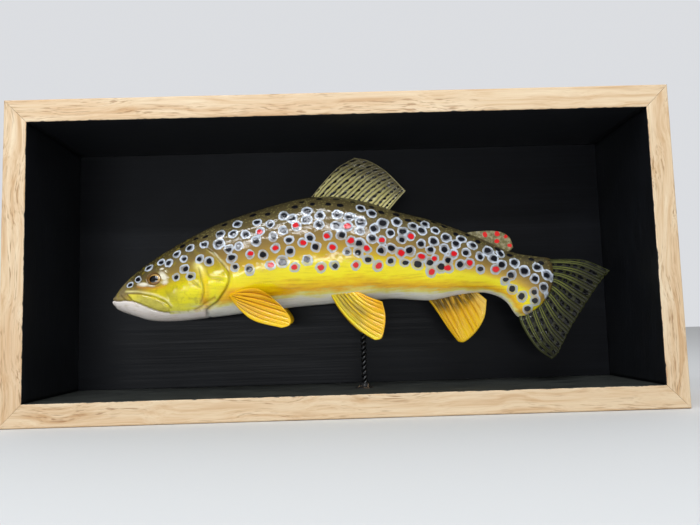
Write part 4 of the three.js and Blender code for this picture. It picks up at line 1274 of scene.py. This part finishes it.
def makeCollar(foot):
    # a lump of dried glue under the black paint, with chips where brown shows
    material, shader, add, _, laid = newMaterial("driedGlueUnderPaint", {"chips": (0.9, 3, 0.5)}, Roughness=0.5,
                                                 IOR=1.5)
    tone = add("ValToRGB", [(0.5, "0c0c0e"), (0.6, "2a211a"), (0.68, "9a7f5f")], laid["chips"])
    joinUp(shader, {"Base Color": tone})
    profile, around = post["collar"], post["collarAround"]
    points = np.vstack([turned(profile, around, post["lumpy"]), (0, 0, profile[0][1]), (0, 0, profile[-1][1])])
    makePiece("glueCollar", points + [foot[0], foot[1], post["floor"]], tubeFaces(len(profile), around, "fan"),
              material)


makeCollar(makePost(wireMaterial()))

# sawtooth hanger in its pocket behind

hanger = {
    "teeth": 11, "bite": 1.6, "plainEnd": 7.0, "steel": 0.8, "standoff": 1.0, "bend": 1.2, "edge": 0.14,
    # a brad's radius and height, head to shank, and how far in from the strip's ends it sits
    "brad": [(0.25, 0.62), (0.6, 0.55), (0.95, 0.38), (1.15, 0.16), (1.2, 0.0), (0.55, -0.05), (0.5, -1.2)],
    "bradIn": 2.6,
    "bradAround": 28,
}


def zincMaterial():
    # Stamped mild steel with bright zinc plate: cool grey, faintly crystalline, fine rolling lines.
    patterns = {"lines": ((10 / 3, 1 / 4, 1 / 6), 3, 0.5)}
    material, shader, add, place, laid = newMaterial("zincPlatedSteel", patterns, Metallic=1.0)
    spangle = add("TexVoronoi", None, {"Vector": place, "Scale": 1 / (1.4 * mm)})
    rough = add("MapRange", None, laid["lines"], 0.3, 0.7, 0.26, 0.42)
    bump = add("Bump", None, {"Strength": 0.25, "Distance": 0.00005, "Height": laid["lines"]})
    joinUp(shader, {"Base Color": layCoats(add, "b4b7ba", [("93979c", spangle, 0.5)]), "Roughness": rough,
                    "Normal": bump})
    return material


def makeHanger(material):
    lo, hi = boxOf("sawtooth_hanger")
    middle, halfWide = (lo + hi) / 2, (hi[0] - lo[0]) / 2
    toothed = halfWide - hanger["plainEnd"]
    bend = toothed + hanger["bend"]
    places = set(np.linspace(-toothed, toothed, hanger["teeth"] * 2 + 1).round(4).tolist())
    places |= {-halfWide, halfWide, -bend, bend, -bend - 1.0, bend + 1.0}
    points = []
    for x in sorted(places):
        slot = (x + toothed) / (2 * toothed) * hanger["teeth"] * 2
        tooth = hanger["bite"] if abs(x) <= toothed + 0.01 and int(round(slot)) % 2 else 0
        y = hi[1] - hanger["steel"] / 2 - hanger["standoff"] * ease(abs(x), bend, bend + 1.0)
        points += [(middle[0] + x, y, z) for z in (lo[2] + tooth, lo[2] + 2.6, hi[2] - 0.6, hi[2])]
    firsts = [r * 4 + k for r in range(len(places) - 1) for k in range(3)]
    faces = [[i, i + 4, i + 5, i + 1] for i in firsts]
    strip = makePiece("sawtoothStrip", points, faces, material, ["sawtooth_hanger"], smooth=False)
    thicken = strip.modifiers.new("thicken", "SOLIDIFY")
    thicken.thickness = hanger["steel"] * mm
    thicken.offset = 0
    edges = strip.modifiers.new("edges", "BEVEL")
    edges.width = hanger["edge"] * mm
    edges.segments = 2
    # two round-headed brads hold it
    brad = turned(hanger["brad"], hanger["bradAround"])[:, [0, 2, 1]]
    faces = tubeFaces(len(hanger["brad"]), hanger["bradAround"], "flat")
    for word, sign in (("Left", -1), ("Right", 1)):
        x = middle[0] + sign * (halfWide - hanger["bradIn"])
        makePiece("brad" + word, brad + [x, hi[1] - hanger["standoff"], middle[2] + 0.8], faces, material)


makeHanger(zincMaterial())
print("hanger made")
